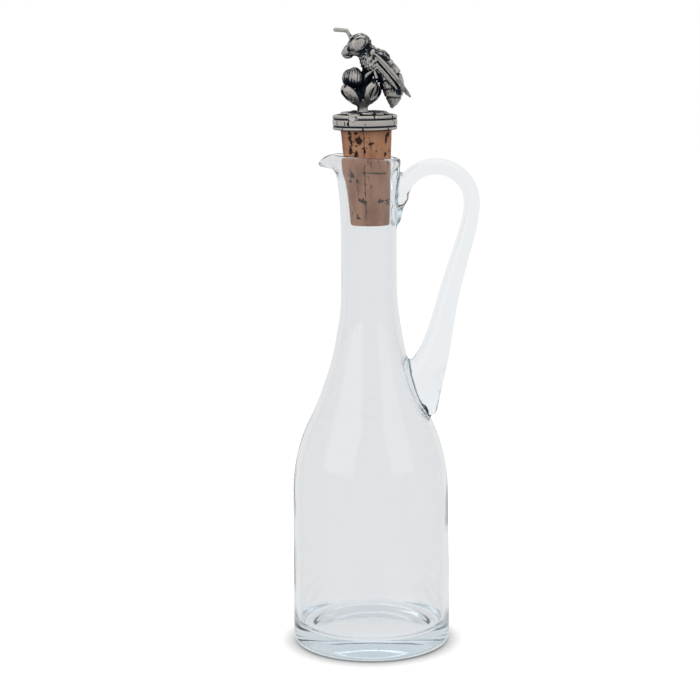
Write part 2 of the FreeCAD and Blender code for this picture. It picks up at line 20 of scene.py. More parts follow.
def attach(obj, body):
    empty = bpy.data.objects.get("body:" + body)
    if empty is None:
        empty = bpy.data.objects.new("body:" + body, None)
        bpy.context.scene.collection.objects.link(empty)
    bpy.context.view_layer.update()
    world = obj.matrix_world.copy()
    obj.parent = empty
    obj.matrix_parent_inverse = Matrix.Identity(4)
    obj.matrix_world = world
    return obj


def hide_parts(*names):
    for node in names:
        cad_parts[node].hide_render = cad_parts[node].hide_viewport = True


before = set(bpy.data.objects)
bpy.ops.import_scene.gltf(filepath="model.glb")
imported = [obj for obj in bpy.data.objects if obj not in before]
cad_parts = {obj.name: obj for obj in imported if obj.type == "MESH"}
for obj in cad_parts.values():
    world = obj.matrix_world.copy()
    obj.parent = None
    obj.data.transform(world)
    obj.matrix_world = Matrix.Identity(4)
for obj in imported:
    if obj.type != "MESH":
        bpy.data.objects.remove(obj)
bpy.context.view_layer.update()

MM = 0.001                   # a millimetre in metres
FAR = 4.0                    # what an empty lattice holds, in mm
UNMET = 99.0                 # farther off than anything that is measured, in mm
SPARE = 1.2                  # how far relief and fillets reach past a form, in mm
SNAP = 0.1                   # the most that a vertex moves on to its surface, in mm
EVEN_STEPS = (0.6, -0.62)    # a pull towards the neighbours and the push back
# These reaches set the hollow value that darkens the pewter: tarnish in small recesses, and
# painted shade between and under parts at the longer reaches.
HOLLOW_REACHES = ((0.4, 0.28), (0.9, 0.30), (1.8, 0.30), (4.0, 0.32))  # mm and weight
HOLLOW_GAIN = 1.5
GLASS_IOR = 1.5
MIRROR_DIM = 0.13            # how much duller the white studio is in a mirror
PATH_TURNS = 24              # lets light find its way out of thick glass
MIRROR_TURNS = 16
Array = np.ndarray
Triple = tuple[float, float, float]
Section = tuple[Array, Array, float]
Relief = Callable[[Array, Array, Array], Array]
Piece = bpy.types.Object
Material = bpy.types.Material
Socket = bpy.types.NodeSocket
log = logging.getLogger("cruet")


class Node(Enum):
    """The separate pieces that the solids are named for."""

    GLASS = "glass"
    CORK = "cork"
    CAP = "cap"
    FIGURE = "figure"


class Slot(Enum):
    """The record's material slots."""

    GLASS = "glass"
    CORK = "cork"
    CAP = "pewter_cap"
    FIGURE = "pewter_figure"


class Attribute(Enum):
    """What a mesh tells its material at each vertex."""

    HOLLOW = "hollow"


# ---- curves


def arc_points(centre: tuple[float, float], radius: float, from_deg: float, to_deg: float,
               count: int) -> Array:
    """Points of an arc in the (r, z) plane.

    Args:
        centre: the arc's centre.
        radius: its radius.
        from_deg: its first angle, from +r towards +z.
        to_deg: its last angle.
        count: how many points.

    Returns:
        A count by 2 array.
    """
    turn = np.radians(np.linspace(from_deg, to_deg, count))
    return np.stack([centre[0] + radius * np.cos(turn), centre[1] + radius * np.sin(turn)], 1)


def line_points(start: Sequence[float], end: Sequence[float], count: int) -> Array:
    """Evenly spaced points from start to end, both included."""
    share = np.linspace(0.0, 1.0, count)[:, None]
    return np.asarray(start, float) * (1 - share) + np.asarray(end, float) * share


def chain(*runs: Array) -> Array:
    """Runs of points laid end to end, without the points that repeat.

    Args:
        runs: points, each run starting where the one before ends.

    Returns:
        All the points, one a row.
    """
    points = [runs[0]]
    for run in runs[1:]:
        points.append(run[1:])
    return np.concatenate(points)


def spline(knots: Array, count: int, start_slope: Sequence[float]) -> Array:
    """A smooth cubic curve through knots.

    Args:
        knots: the points to pass, one a row.
        count: how many points to give back.
        start_slope: the direction at the first knot; the last one's is its chord's.

    Returns:
        Points spread evenly along the curve's parameter.
    """
    knots = np.asarray(knots, float)
    span = np.linalg.norm(np.diff(knots, axis=0), axis=1)
    at = np.concatenate([[0.0], np.cumsum(span)])
    total = len(knots)
    system = np.zeros((total, total))
    right = np.zeros_like(knots)
    for i in range(1, total - 1):
        system[i, i - 1] = span[i]
        system[i, i] = 2 * (span[i - 1] + span[i])
        system[i, i + 1] = span[i - 1]
        right[i] = 3 * (span[i] / span[i - 1] * (knots[i] - knots[i - 1])
                        + span[i - 1] / span[i] * (knots[i + 1] - knots[i]))
    system[0, 0] = system[-1, -1] = 1.0
    chord = np.diff(knots, axis=0) / span[:, None]
    right[0] = np.asarray(start_slope, float)
    right[-1] = chord[-1]
    slope = np.linalg.solve(system, right)
    where = np.linspace(0.0, at[-1], count)
    piece = np.clip(np.searchsorted(at, where, side="right") - 1, 0, total - 2)
    width = span[piece][:, None]
    t = (where[:, None] - at[piece][:, None]) / width
    a, b = knots[piece], knots[piece + 1]
    return ((2 * t ** 3 - 3 * t ** 2 + 1) * a + (t ** 3 - 2 * t ** 2 + t) * width * slope[piece]
            + (3 * t ** 2 - 2 * t ** 3) * b + (t ** 3 - t ** 2) * width * slope[piece + 1])


def bearing(degrees: float) -> tuple[Array, Array]:
    """The level direction at an angle round Z, and the one square to it."""
    turn = math.radians(degrees)
    return (np.array([math.cos(turn), math.sin(turn), 0.0]),
            np.array([-math.sin(turn), math.cos(turn), 0.0]))


def smooth_step(low: float, high: float, value: Array) -> Array:
    """0 below low, 1 above high and a smooth rise between."""
    t = np.clip((value - low) / (high - low), 0.0, 1.0)
    return t * t * (3 - 2 * t)


def cell_corners(part: Array) -> Iterator[tuple[Array, Array]]:
    """The eight corners of a unit cell, each with its weight at every place.

    Args:
        part: places in the cell, 0 to 1, one a row.

    Returns:
        Pairs of a corner and its weights.
    """
    for corner in range(8):
        step = np.array([corner & 1, (corner >> 1) & 1, (corner >> 2) & 1])
        yield step, np.prod(np.where(step == 1, part, 1 - part), axis=1)


def grain(points: Array, size: float, seed: int) -> Array:
    """Smooth random values from -1 to 1 in space.

    Args:
        points: places, one a row.
        size: the distance over which a value changes.
        seed: picks one pattern.

    Returns:
        One value a point.
    """
    cell = points / size
    base = np.floor(cell).astype(np.int64)
    part = cell - base
    part = part * part * (3 - 2 * part)
    total = np.zeros(len(points))
    for step, weight in cell_corners(part):
        spot = base + step
        code = (spot[:, 0] * 73856093) ^ (spot[:, 1] * 19349663) ^ (spot[:, 2] * 83492791)
        code = (code + seed * 2654435761) & 0xFFFFFFFF
        code = ((code ^ (code >> 15)) * 2246822519) & 0xFFFFFFFF
        code = ((code ^ (code >> 13)) * 3266489917) & 0xFFFFFFFF
        total += weight * (((code >> 8) & 0xFFFF) / 32767.5 - 1.0)
    return total


# ---- meshes


def write_mesh(name: str, verts: Array, faces: Sequence[Sequence[int]],
               hollow: Optional[Array] = None) -> Piece:
    """A new smooth object from points in millimetres.

    Args:
        name: the object's name.
        verts: its points, one a row.
        faces: its faces as indices.
        hollow: how deep in a hollow each vertex lies, 0 to 1.

    Returns:
        The object, linked to the scene.
    """
    mesh = bpy.data.meshes.new(name)
    mesh.from_pydata((np.asarray(verts) * MM).tolist(), [], [list(f) for f in faces])
    mesh.polygons.foreach_set("use_smooth", [True] * len(mesh.polygons))
    if hollow is not None:
        layer = mesh.attributes.new(Attribute.HOLLOW.value, "FLOAT", "POINT")
        layer.data.foreach_set("value", np.asarray(hollow, np.float32))
    mesh.validate()
    piece = bpy.data.objects.new(name, mesh)
    bpy.context.scene.collection.objects.link(piece)
    return piece


def grid_faces(rows: int, columns: int) -> list[tuple[int, int, int, int]]:
    """Faces of a grid of vertices whose rows close on themselves.

    Args:
        rows: how many rows of vertices.
        columns: how many vertices in a row.

    Returns:
        Four-sided faces as vertex indices.
    """
    return [(i * columns + j, i * columns + (j + 1) % columns,
             (i + 1) * columns + (j + 1) % columns, (i + 1) * columns + j)
            for i in range(rows - 1) for j in range(columns)]


def ring_solid(rings: Array) -> tuple[Array, list[tuple[int, ...]]]:
    """Closes a row of rings into a solid, with a fan of triangles on a point at each end.

    Args:
        rings: rows by columns by 3 places; the first and last rows may be small rings.

    Returns:
        Its vertices and faces, facing out where the rings turn counter-clockwise about
        the direction in which they follow each other.
    """
    rows, columns, _ = rings.shape
    verts = rings.reshape(-1, 3)
    faces: list[tuple[int, ...]] = list(grid_faces(rows, columns))
    first, last = len(verts), len(verts) + 1
    verts = np.concatenate([verts, [rings[0].mean(0)], [rings[-1].mean(0)]])
    top = (rows - 1) * columns
    for j in range(columns):
        k = (j + 1) % columns
        faces.append((first, k, j))
        faces.append((last, top + j, top + k))
    return verts, faces


def settle(piece: Piece, node: Node,
           finish: Material) -> None:
    """Dresses a piece, hangs it under the root body and hides the solid that it stands for.

    Args:
        piece: the object.
        node: the solid that it replaces.
        finish: its material.
    """
    piece.data.materials.clear()
    piece.data.materials.append(finish)
    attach(piece, "root")
    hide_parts(node.value)
    log.info("%s: %d faces, %s", piece.name, len(piece.data.polygons), finish.name)


# ---- modelling clay


class Form(Protocol):
    """A shape that a sculpt can take in."""

    def box(self) -> tuple[Array, Array]:
        """The lowest and highest corner that the shape can reach."""

    def distance(self, points: Array) -> Array:
        """Signed distance of each point, negative inside."""


def frame_of(along: Sequence[float], across: Sequence[float]) -> Array:
    """Three unit rows: along, across squared to it, and the direction square to both.

    Args:
        along: the first direction.
        across: roughly the second direction.

    Returns:
        A 3 by 3 array of unit rows.
    """
    first = np.asarray(along, float)
    first = first / np.linalg.norm(first)
    second = np.asarray(across, float)
    second = second - first * second.dot(first)
    second = second / np.linalg.norm(second)
    return np.stack([first, second, np.cross(first, second)])


def box_round(start: Sequence[float], end: Sequence[float], reach: float) -> tuple[Array, Array]:
    """The corners of the box round two places, larger by reach on every side."""
    ends = np.stack([start, end]).astype(float)
    return ends.min(0) - reach, ends.max(0) + reach


@dataclass
class Blob:
    """A ball drawn out along three axes.

    Relief is given the three local coordinates and raises the surface.
    """

    centre: Sequence[float]
    radii: Sequence[float]
    along: Sequence[float] = (0, 0, 1)
    across: Sequence[float] = (0, 1, 0)
    relief: Optional[Relief] = None

    def box(self) -> tuple[Array, Array]:
        """The cube round the longest radius."""
        reach = max(self.radii) + SPARE
        return np.asarray(self.centre) - reach, np.asarray(self.centre) + reach

    def distance(self, points: Array) -> Array:
        """Signed distance, close to true near the surface.

        Args:
            points: places, one a row.

        Returns:
            One distance a point, negative inside.
        """
        local = (points - np.asarray(self.centre)) @ frame_of(self.along, self.across).T
        radii = np.asarray(self.radii, float)
        near = np.linalg.norm(local / radii, axis=1) + 1e-6
        steep = np.linalg.norm(local / radii ** 2, axis=1) + 1e-6
        away = near * (near - 1) / steep
        if self.relief is not None:
            away = away - self.relief(local[:, 0], local[:, 1], local[:, 2])
        return away


@dataclass
class Bar:
    """A round bar whose radius changes from one end to the other."""

    start: Sequence[float]
    end: Sequence[float]
    start_r: float
    end_r: float
    relief: Optional[Relief] = None

    def box(self) -> tuple[Array, Array]:
        """The box round both ends."""
        return box_round(self.start, self.end, max(self.start_r, self.end_r) + SPARE)

    def distance(self, points: Array) -> Array:
        """Signed distance to the bar.

        Args:
            points: places, one a row.

        Returns:
            One distance a point, negative inside.
        """
        start = np.asarray(self.start, float)
        run = np.asarray(self.end, float) - start
        share = np.clip((points - start) @ run / run.dot(run), 0.0, 1.0)
        off = points - (start + share[:, None] * run)
        away = np.linalg.norm(off, axis=1) - (self.start_r + (self.end_r - self.start_r) * share)
        if self.relief is not None:
            local = off @ frame_of(run, (0.13, 1.0, 0.21)).T
            away = away - self.relief(share, local[:, 1], local[:, 2])
        return away


@dataclass
class Blade:
    """A petal, wing or leaf: a thin plate with a curved outline, hollow across it.

    Its outline runs from root to tip; belly is where it is widest, cup how far its
    middle lies below its rims and bend how far it bows along its length.
    """

    root: Sequence[float]
    tip: Sequence[float]
    across: Sequence[float]
    half_width: float
    thickness: float
    belly: float = 0.5
    cup: float = 0.0
    bend: float = 0.0
    blunt: float = 0.6
    relief: Optional[Relief] = None

    def box(self) -> tuple[Array, Array]:
        """The box round both ends and the widest place."""
        reach = self.half_width + abs(self.cup) + abs(self.bend) + SPARE
        return box_round(self.root, self.tip, reach)

    def outline(self, share: Array) -> Array:
        """Half the width at each share of the length.

        Args:
            share: places along the length, 0 to 1.

        Returns:
            Half a width for each place.
        """
        inside = np.clip(share, 0.0, 1.0)
        bias = math.log(0.5) / math.log(self.belly)
        return self.half_width * np.sin(math.pi * inside ** bias) ** self.blunt

    def distance(self, points: Array) -> Array:
        """Signed distance to the plate.

        Args:
            points: places, one a row.

        Returns:
            One distance a point, negative inside.
        """
        root = np.asarray(self.root, float)
        run = np.asarray(self.tip, float) - root
        length = np.linalg.norm(run)
        local = (points - root) @ frame_of(run, self.across).T
        share = local[:, 0] / length
        inside = np.clip(share, 0.02, 0.98)
        wide = self.outline(inside)
        lift = self.cup * (local[:, 1] / self.half_width) ** 2
        lift = lift + self.bend * 4 * inside * (1 - inside)
        thick = self.thickness / 2
        if self.relief is not None:
            thick = thick + self.relief(share, local[:, 1] / np.maximum(wide, 0.3),
                                        local[:, 2] - lift)
        out = np.stack([np.abs(local[:, 1]) - wide + thick,
                        np.maximum(np.abs(local[:, 0] - length / 2) - length / 2 + thick, -9.0),
                        np.abs(local[:, 2] - lift)], 1)
        flat = np.maximum(out[:, 0], out[:, 1])
        return np.hypot(np.maximum(flat, 0.0), out[:, 2]) - thick


@dataclass
class Tail:
    """A body swept along a path of points, its radius given at each point."""

    path: Array
    radii: Array
    relief: Optional[Relief] = None

    def box(self) -> tuple[Array, Array]:
        """The box round the whole path."""
        reach = float(self.radii.max()) + SPARE
        return self.path.min(0) - reach, self.path.max(0) + reach

    def distance(self, points: Array) -> Array:
        """Signed distance to the swept body.

        Args:
            points: places, one a row.

        Returns:
            One distance a point, negative inside.
        """
        best = np.full(len(points), UNMET)
        place = np.zeros(len(points))
        side = np.zeros(len(points))
        total = len(self.path) - 1
        for i in range(total):
            run = self.path[i + 1] - self.path[i]
            share = np.clip((points - self.path[i]) @ run / run.dot(run), 0.0, 1.0)
            off = points - (self.path[i] + share[:, None] * run)
            reach = np.linalg.norm(off, axis=1)
            thick = self.radii[i] + (self.radii[i + 1] - self.radii[i]) * share
            closer = reach - thick < best
            best = np.where(closer, reach - thick, best)
            place = np.where(closer, (i + share) / total, place)
            upward = np.cross((0.0, 1.0, 0.0), run / np.linalg.norm(run))
            side = np.where(closer, np.arctan2(off[:, 1], off @ upward), side)
        if self.relief is not None:
            best = best - self.relief(place, side, best)
        return best


@dataclass
class Sculpt:
    """Distances to a modelled surface, held on a fine lattice."""

    low: Array
    high: Array
    pitch: float
    values: Array = field(init=False)

    def __post_init__(self) -> None:
        """Lays out an empty lattice."""
        self.low = np.asarray(self.low, float)
        size = np.ceil((np.asarray(self.high, float) - self.low) / self.pitch).astype(int) + 1
        self.values = np.full(tuple(size), FAR)

    def window(self, form: Form) -> tuple[slice, slice, slice]:
        """The part of the lattice that a form can change.

        Args:
            form: the shape.

        Returns:
            One slice an axis.
        """
        low, high = form.box()
        first = np.maximum(np.floor((low - self.low) / self.pitch).astype(int), 0)
        last = np.minimum(np.ceil((high - self.low) / self.pitch).astype(int) + 1,
                          self.values.shape)
        return tuple(slice(int(a), int(max(b, a))) for a, b in zip(first, last))

    def places(self, window: tuple[slice, slice, slice]) -> Array:
        """The lattice points of a window, one a row.

        Args:
            window: one slice an axis.

        Returns:
            The places in millimetres.
        """
        axes = [self.low[i] + np.arange(part.start, part.stop) * self.pitch
                for i, part in enumerate(window)]
        return np.stack(np.meshgrid(*axes, indexing="ij"), -1).reshape(-1, 3)

    def add(self, form: Form, soften: float = 0.0) -> None:
        """Takes a form in, with a fillet about as wide as soften.

        Args:
            form: the shape.
            soften: the fillet's width, or 0 for a sharp joint.
        """
        window = self.window(form)
        old = self.values[window]
        new = form.distance(self.places(window)).reshape(old.shape)
        if soften > 0:
            mix = np.maximum(soften - np.abs(old - new), 0.0) / soften
            self.values[window] = np.minimum(old, new) - mix * mix * soften / 4
        else:
            self.values[window] = np.minimum(old, new)

    def carve(self, form: Form, soften: float = 0.0) -> None:
        """Takes a form away, with its edges rounded by soften.

        Args:
            form: the shape.
            soften: how wide its edges are rounded.
        """
        window = self.window(form)
        old = self.values[window]
        new = -form.distance(self.places(window)).reshape(old.shape)
        mix = np.maximum(soften - np.abs(old - new), 0.0) / max(soften, 1e-6)
        self.values[window] = np.maximum(old, new) + mix * mix * soften / 4

    def cut_below(self, height: float) -> None:
        """Takes everything under a height away."""
        heights = self.low[2] + np.arange(self.values.shape[2]) * self.pitch
        self.values = np.maximum(self.values, (height - heights)[None, None, :])

    def sample(self, points: Array) -> Array:
        """The distance at any place, from the eight lattice points round it.

        Args:
            points: places, one a row.

        Returns:
            One distance a point.
        """
        cell = (points - self.low) / self.pitch
        top = np.array(self.values.shape) - 2
        base = np.clip(np.floor(cell).astype(int), 0, top)
        part = np.clip(cell - base, 0.0, 1.0)
        total = np.zeros(len(points))
        for step, weight in cell_corners(part):
            spot = base + step
            total += weight * self.values[spot[:, 0], spot[:, 1], spot[:, 2]]
        return total

    def slope(self, points: Array) -> Array:
        """Unit direction in which the distance grows fastest.

        Args:
            points: places, one a row.

        Returns:
            One unit row a point.
        """
        reach = self.pitch * 0.7
        steps = np.eye(3) * reach
        grow = np.stack([self.sample(points + s) - self.sample(points - s) for s in steps], 1)
        return grow / (np.linalg.norm(grow, axis=1, keepdims=True) + 1e-9)

    def skin(self) -> tuple[Array, Array]:
        """The surface as one vertex in each cell that it crosses.

        Returns:
            The vertices and the four-sided faces, facing out.
        """
        inside = self.values < 0
        nx, ny, nz = (n - 1 for n in inside.shape)
        count = np.zeros((nx, ny, nz))
        total = np.zeros((nx, ny, nz, 3))
        for axis in range(3):
            others = [a for a in range(3) if a != axis]
            for corner in range(4):
                shift = [0, 0, 0]
                shift[others[0]] = corner & 1
                shift[others[1]] = corner >> 1
                low = tuple(slice(s, s + n) for s, n in zip(shift, (nx, ny, nz)))
                shift[axis] = 1
                high = tuple(slice(s, s + n) for s, n in zip(shift, (nx, ny, nz)))
                crossed = inside[low] != inside[high]
                a, b = self.values[low][crossed], self.values[high][crossed]
                share = a / (a - b)
                spot = np.zeros((len(share), 3))
                spot[:, others[0]] = corner & 1
                spot[:, others[1]] = corner >> 1
                spot[:, axis] = share
                total[crossed] += spot
                count[crossed] += 1
        used = count > 0
        index = np.full(used.shape, -1)
        index[used] = np.arange(int(used.sum()))
        cells = np.argwhere(used)
        verts = self.low + (cells + total[used] / count[used][:, None]) * self.pitch
        faces = []
        for axis in range(3):
            u, v = [a for a in range(3) if a != axis]
            low = [slice(1, -1)] * 3
            low[axis] = slice(0, -1)
            high = [slice(1, -1)] * 3
            high[axis] = slice(1, None)
            crossed = inside[tuple(low)] != inside[tuple(high)]
            out = inside[tuple(low)][crossed]
            where = np.argwhere(crossed)
            where[:, u] += 1
            where[:, v] += 1
            around = []
            for du, dv in ((-1, -1), (0, -1), (0, 0), (-1, 0)):
                spot = where.copy()
                spot[:, u] += du
                spot[:, v] += dv
                around.append(index[spot[:, 0], spot[:, 1], spot[:, 2]])
            quad = np.stack(around, 1)
            if axis == 1:
                out = ~out
            quad[~out] = quad[~out][:, ::-1]
            faces.append(quad)
        return verts, np.concatenate(faces)

    def hollows(self, verts: Array) -> Array:
        """How far each vertex lies in a hollow, from 0 in the open to 1.

        Args:
            verts: points of the surface, one a row.

        Returns:
            One value a vertex.
        """
        # Painted shade: this occlusion value darkens the pewter in recesses, gaps between parts
        # and undersides, along with its tarnish.
        facing = self.slope(verts)
        depth = np.zeros(len(verts))
        for reach, weight in HOLLOW_REACHES:
            free = self.sample(verts + facing * reach) / reach
            depth += weight * (1 - np.clip(free, 0.0, 1.0))
        return np.clip(depth * HOLLOW_GAIN, 0.0, 1.0)

    def cast(self, name: str, place: Array, fine: Optional[Callable[[Array], Array]] = None
             ) -> Piece:
        """The modelled surface as an object.

        Args:
            name: the object's name.
            place: where the sculpt's origin stands.
            fine: height of the finest surface marks at each vertex.

        Returns:
            The object.
        """
        verts, faces = self.skin()
        for _ in range(2):
            near = np.clip(self.sample(verts), -SNAP, SNAP)
            verts = verts - self.slope(verts) * near[:, None]
        hollow = self.hollows(verts)
        if fine is not None:
            verts = verts + self.slope(verts) * fine(verts)[:, None]
        return write_mesh(name, verts + np.asarray(place), faces.tolist(), hollow)


# ---- finishes


@dataclass
class Wiring:
    """Adds nodes to a node tree and joins them."""

    tree: bpy.types.NodeTree

    def add(self, kind: str, **settings: object) -> bpy.types.Node:
        """A new node; a setting names a property, or an input's default with a leading in_.

        Args:
            kind: the node's type.
            settings: properties, and input defaults as in_Name.

        Returns:
            The node.
        """
        node = self.tree.nodes.new(kind)
        for key, value in settings.items():
            if key.startswith("in_"):
                node.inputs[key[3:].replace("_", " ")].default_value = value
            else:
                setattr(node, key, value)
        return node

    def join(self, source: Socket, target: Socket) -> None:
        """Links an output to an input."""
        self.tree.links.new(source, target)

    def calc(self, operation: str, first: object, second: object = 0.0) -> Socket:
        """A Math node of two sockets or numbers.

        Args:
            operation: the node's operation.
            first: a socket or a number.
            second: a socket or a number.

        Returns:
            The result's socket.
        """
        node = self.add("ShaderNodeMath", operation=operation)
        for i, value in enumerate((first, second)):
            if isinstance(value, (int, float)):
                node.inputs[i].default_value = value
            else:
                self.join(value, node.inputs[i])
        return node.outputs[0]

    def ramp(self, value: Socket, low: float, high: float,
             out_low: float = 0.0, out_high: float = 1.0) -> Socket:
        """A value carried smoothly from one range to another.

        Args:
            value: the socket that is carried over.
            low: where its range starts.
            high: where its range ends.
            out_low: what low becomes.
            out_high: what high becomes.

        Returns:
            The result's socket.
        """
        node = self.add("ShaderNodeMapRange", interpolation_type="SMOOTHSTEP")
        self.join(value, node.inputs["Value"])
        for key, number in (("From Min", low), ("From Max", high), ("To Min", out_low),
                            ("To Max", out_high)):
            node.inputs[key].default_value = number
        return node.outputs["Result"]

    def blend(self, share: object, first: object, second: object) -> Socket:
        """A colour between two colours, each a socket or a colour.

        Args:
            share: how much of the second, a socket or a number.
            first: the colour at 0.
            second: the colour at 1.

        Returns:
            The mixed colour's socket.
        """
        node = self.add("ShaderNodeMix", data_type="RGBA")
        for socket, value in zip((node.inputs[0], node.inputs[6], node.inputs[7]),
                                 (share, first, second)):
            if isinstance(value, Socket):
                self.join(value, socket)
            elif isinstance(value, (int, float)):
                socket.default_value = value
            else:
                socket.default_value = (*value, 1.0)
        return node.outputs[2]

    def bump(self, height: Socket, shader: bpy.types.Node, deep_mm: float,
             strength: float) -> None:
        """Roughens a shader's surface.

        Args:
            height: the socket that gives the height.
            shader: the shader that it is for.
            deep_mm: what a height of 1 stands for.
            strength: how much of it is felt.
        """
        node = self.add("ShaderNodeBump", in_Distance=deep_mm * MM, in_Strength=strength)
        self.join(height, node.inputs["Height"])
        self.join(node.outputs["Normal"], shader.inputs["Normal"])

    def mirrored(self, light: bpy.types.Node, dim: float) -> Socket:
        """A white that is a little duller once light has been mirrored."""
        turns = self.calc("MINIMUM", light.outputs["Glossy Depth"], 1.0)
        return self.calc("SUBTRACT", 1.0, self.calc("MULTIPLY", turns, dim))

    def noise(self, where: Socket, size_mm: float, detail: float = 3.0,
              stretch: Triple = (1, 1, 1)) -> Socket:
        """Noise whose lumps are about size_mm across, drawn out where stretch is under 1.

        Args:
            where: the places that it is read at.
            size_mm: how wide a lump is.
            detail: how many finer layers it has.
            stretch: a scale for each axis.

        Returns:
            The noise's socket.
        """
        place = self.add("ShaderNodeVectorMath", operation="MULTIPLY")
        self.join(where, place.inputs[0])
        place.inputs[1].default_value = stretch
        node = self.add("ShaderNodeTexNoise")
        self.join(place.outputs[0], node.inputs["Vector"])
        node.inputs["Scale"].default_value = 0.5 / (size_mm * MM)
        node.inputs["Detail"].default_value = detail
        return node.outputs["Fac"]


def new_material(name: str) -> tuple[Material, Wiring, bpy.types.Node]:
    """A node material with its Principled shader joined to the output.

    Args:
        name: the material's name.

    Returns:
        The material, its wiring and its shader.
    """
    material = bpy.data.materials.new(name)
    material.use_nodes = True
    wires = Wiring(material.node_tree)
    return material, wires, material.node_tree.nodes["Principled BSDF"]


class TarnishAndShadeGroup:
    """Dark tarnish and painted shade that stay in the hollows of a casting and are rubbed off its
    heights.
    """

    name = "tarnish_and_painted_shade_in_hollows"
    edge = 0.13

    @classmethod
    def tree(cls) -> bpy.types.NodeTree:
        """The shared node group, built once.

        Returns:
            The node group.
        """
        if cls.name in bpy.data.node_groups:
            return bpy.data.node_groups[cls.name]
        tree = bpy.data.node_groups.new(cls.name, "ShaderNodeTree")
        for label, kind, start in (("Hollow", "NodeSocketFloat", 0.0),
                                   ("Rubbed", "NodeSocketColor", (0.4, 0.4, 0.4, 1)),
                                   ("Tarnish and Shade", "NodeSocketColor", (0.02, 0.02, 0.03, 1)),
                                   ("Reach", "NodeSocketFloat", 0.5)):
            socket = tree.interface.new_socket(name=label, in_out="INPUT", socket_type=kind)
            socket.default_value = start
        for label, kind in (("Color", "NodeSocketColor"), ("Roughness", "NodeSocketFloat"),
                            ("Height", "NodeSocketFloat")):
            tree.interface.new_socket(name=label, in_out="OUTPUT", socket_type=kind)
        wires = Wiring(tree)
        given = wires.add("NodeGroupInput")
        out = wires.add("NodeGroupOutput")
        where = wires.add("ShaderNodeTexCoord").outputs["Object"]
        lumps = wires.noise(where, 1.1, 4.0)
        specks = wires.noise(where, 0.28, 3.0)
        # Painted shade: the hollow value pulls the colour to the dark one, which stands for
        # tarnish in recesses and for shade between and under parts.
        deep = wires.calc("ADD", given.outputs["Hollow"],
                          wires.calc("MULTIPLY", wires.calc("SUBTRACT", lumps, 0.5), 0.5))
        deep = wires.calc("ADD", deep, wires.calc(
            "MULTIPLY", wires.calc("SUBTRACT", specks, 0.5), 0.42))
        over = wires.calc("SUBTRACT", deep, given.outputs["Reach"])
        mask = wires.ramp(over, -cls.edge, cls.edge)
        tarnish_and_shade_colour = wires.blend(mask, given.outputs["Rubbed"], given.outputs["Tarnish and Shade"])
        wires.join(tarnish_and_shade_colour, out.inputs["Color"])
        rough = wires.calc("ADD", wires.calc("MULTIPLY", mask, 0.2),
                           wires.calc("MULTIPLY", specks, 0.16))
        wires.join(wires.calc("ADD", rough, 0.34), out.inputs["Roughness"])
        wires.join(wires.calc("ADD", specks, wires.calc("MULTIPLY", lumps, 1.6)),
                   out.inputs["Height"])
        return tree


@dataclass(frozen=True)
class CastPewter:
    """Cast pewter, with tarnish and painted shade in its hollows and rubbed bright on its
    heights.
    """

    name: str
    rubbed: Triple = (0.42, 0.405, 0.38)
    # The colour of the hollows: tarnish, and painted shade between and under parts.
    tarnish_and_shade: Triple = (0.006, 0.013, 0.024)
    reach: float = 0.17
    relief_mm: float = 0.05
    metallic: float = 0.82

    def material(self) -> Material:
        """The finish as a node material.

        Returns:
            The material.
        """
        material, wires, shader = new_material(self.name)
        shader.inputs["Metallic"].default_value = self.metallic
        hollow = wires.add("ShaderNodeAttribute", attribute_name=Attribute.HOLLOW.value)
        group = wires.add("ShaderNodeGroup", node_tree=TarnishAndShadeGroup.tree())
        wires.join(hollow.outputs["Fac"], group.inputs["Hollow"])
        group.inputs["Rubbed"].default_value = (*self.rubbed, 1.0)
        group.inputs["Tarnish and Shade"].default_value = (*self.tarnish_and_shade, 1.0)
        group.inputs["Reach"].default_value = self.reach
        wires.join(group.outputs["Color"], shader.inputs["Base Color"])
        wires.join(group.outputs["Roughness"], shader.inputs["Roughness"])
        wires.bump(group.outputs["Height"], shader, self.relief_mm, 0.8)
        return material


@dataclass(frozen=True)
class CorkBark:
    """Natural cork, with darker grains, pale flecks and dark pores."""

    name: str = "natural_cork"
    pale: Triple = (0.56, 0.285, 0.165)
    deep: Triple = (0.37, 0.160, 0.088)
    pore: Triple = (0.045, 0.012, 0.008)

    def material(self) -> Material:
        """The finish as a node material.

        Returns:
            The material.
        """
        material, wires, shader = new_material(self.name)
        where = wires.add("ShaderNodeTexCoord").outputs["Object"]
        lumps = wires.noise(where, 3.4, 5.0, (1.0, 1.0, 0.45))
        fine = wires.noise(where, 0.5, 3.0)
        colour = wires.blend(wires.ramp(lumps, 0.36, 0.66), self.pale, self.deep)
        colour = wires.blend(wires.ramp(fine, 0.5, 0.75, 0.0, 0.55), colour, self.deep)
        flecks = wires.noise(where, 1.1, 2.0, (1.0, 1.0, 0.3))
        colour = wires.blend(wires.ramp(flecks, 0.64, 0.72, 0.0, 0.75), colour, self.pore)
        hollow = wires.add("ShaderNodeAttribute", attribute_name=Attribute.HOLLOW.value)
        colour = wires.blend(wires.ramp(hollow.outputs["Fac"], 0.12, 0.6), colour, self.pore)
        wires.join(colour, shader.inputs["Base Color"])
        wires.join(wires.ramp(fine, 0.2, 0.8, 0.72, 0.92), shader.inputs["Roughness"])
        wires.bump(wires.calc("SUBTRACT", fine, flecks), shader, 0.12, 0.9)
        return material


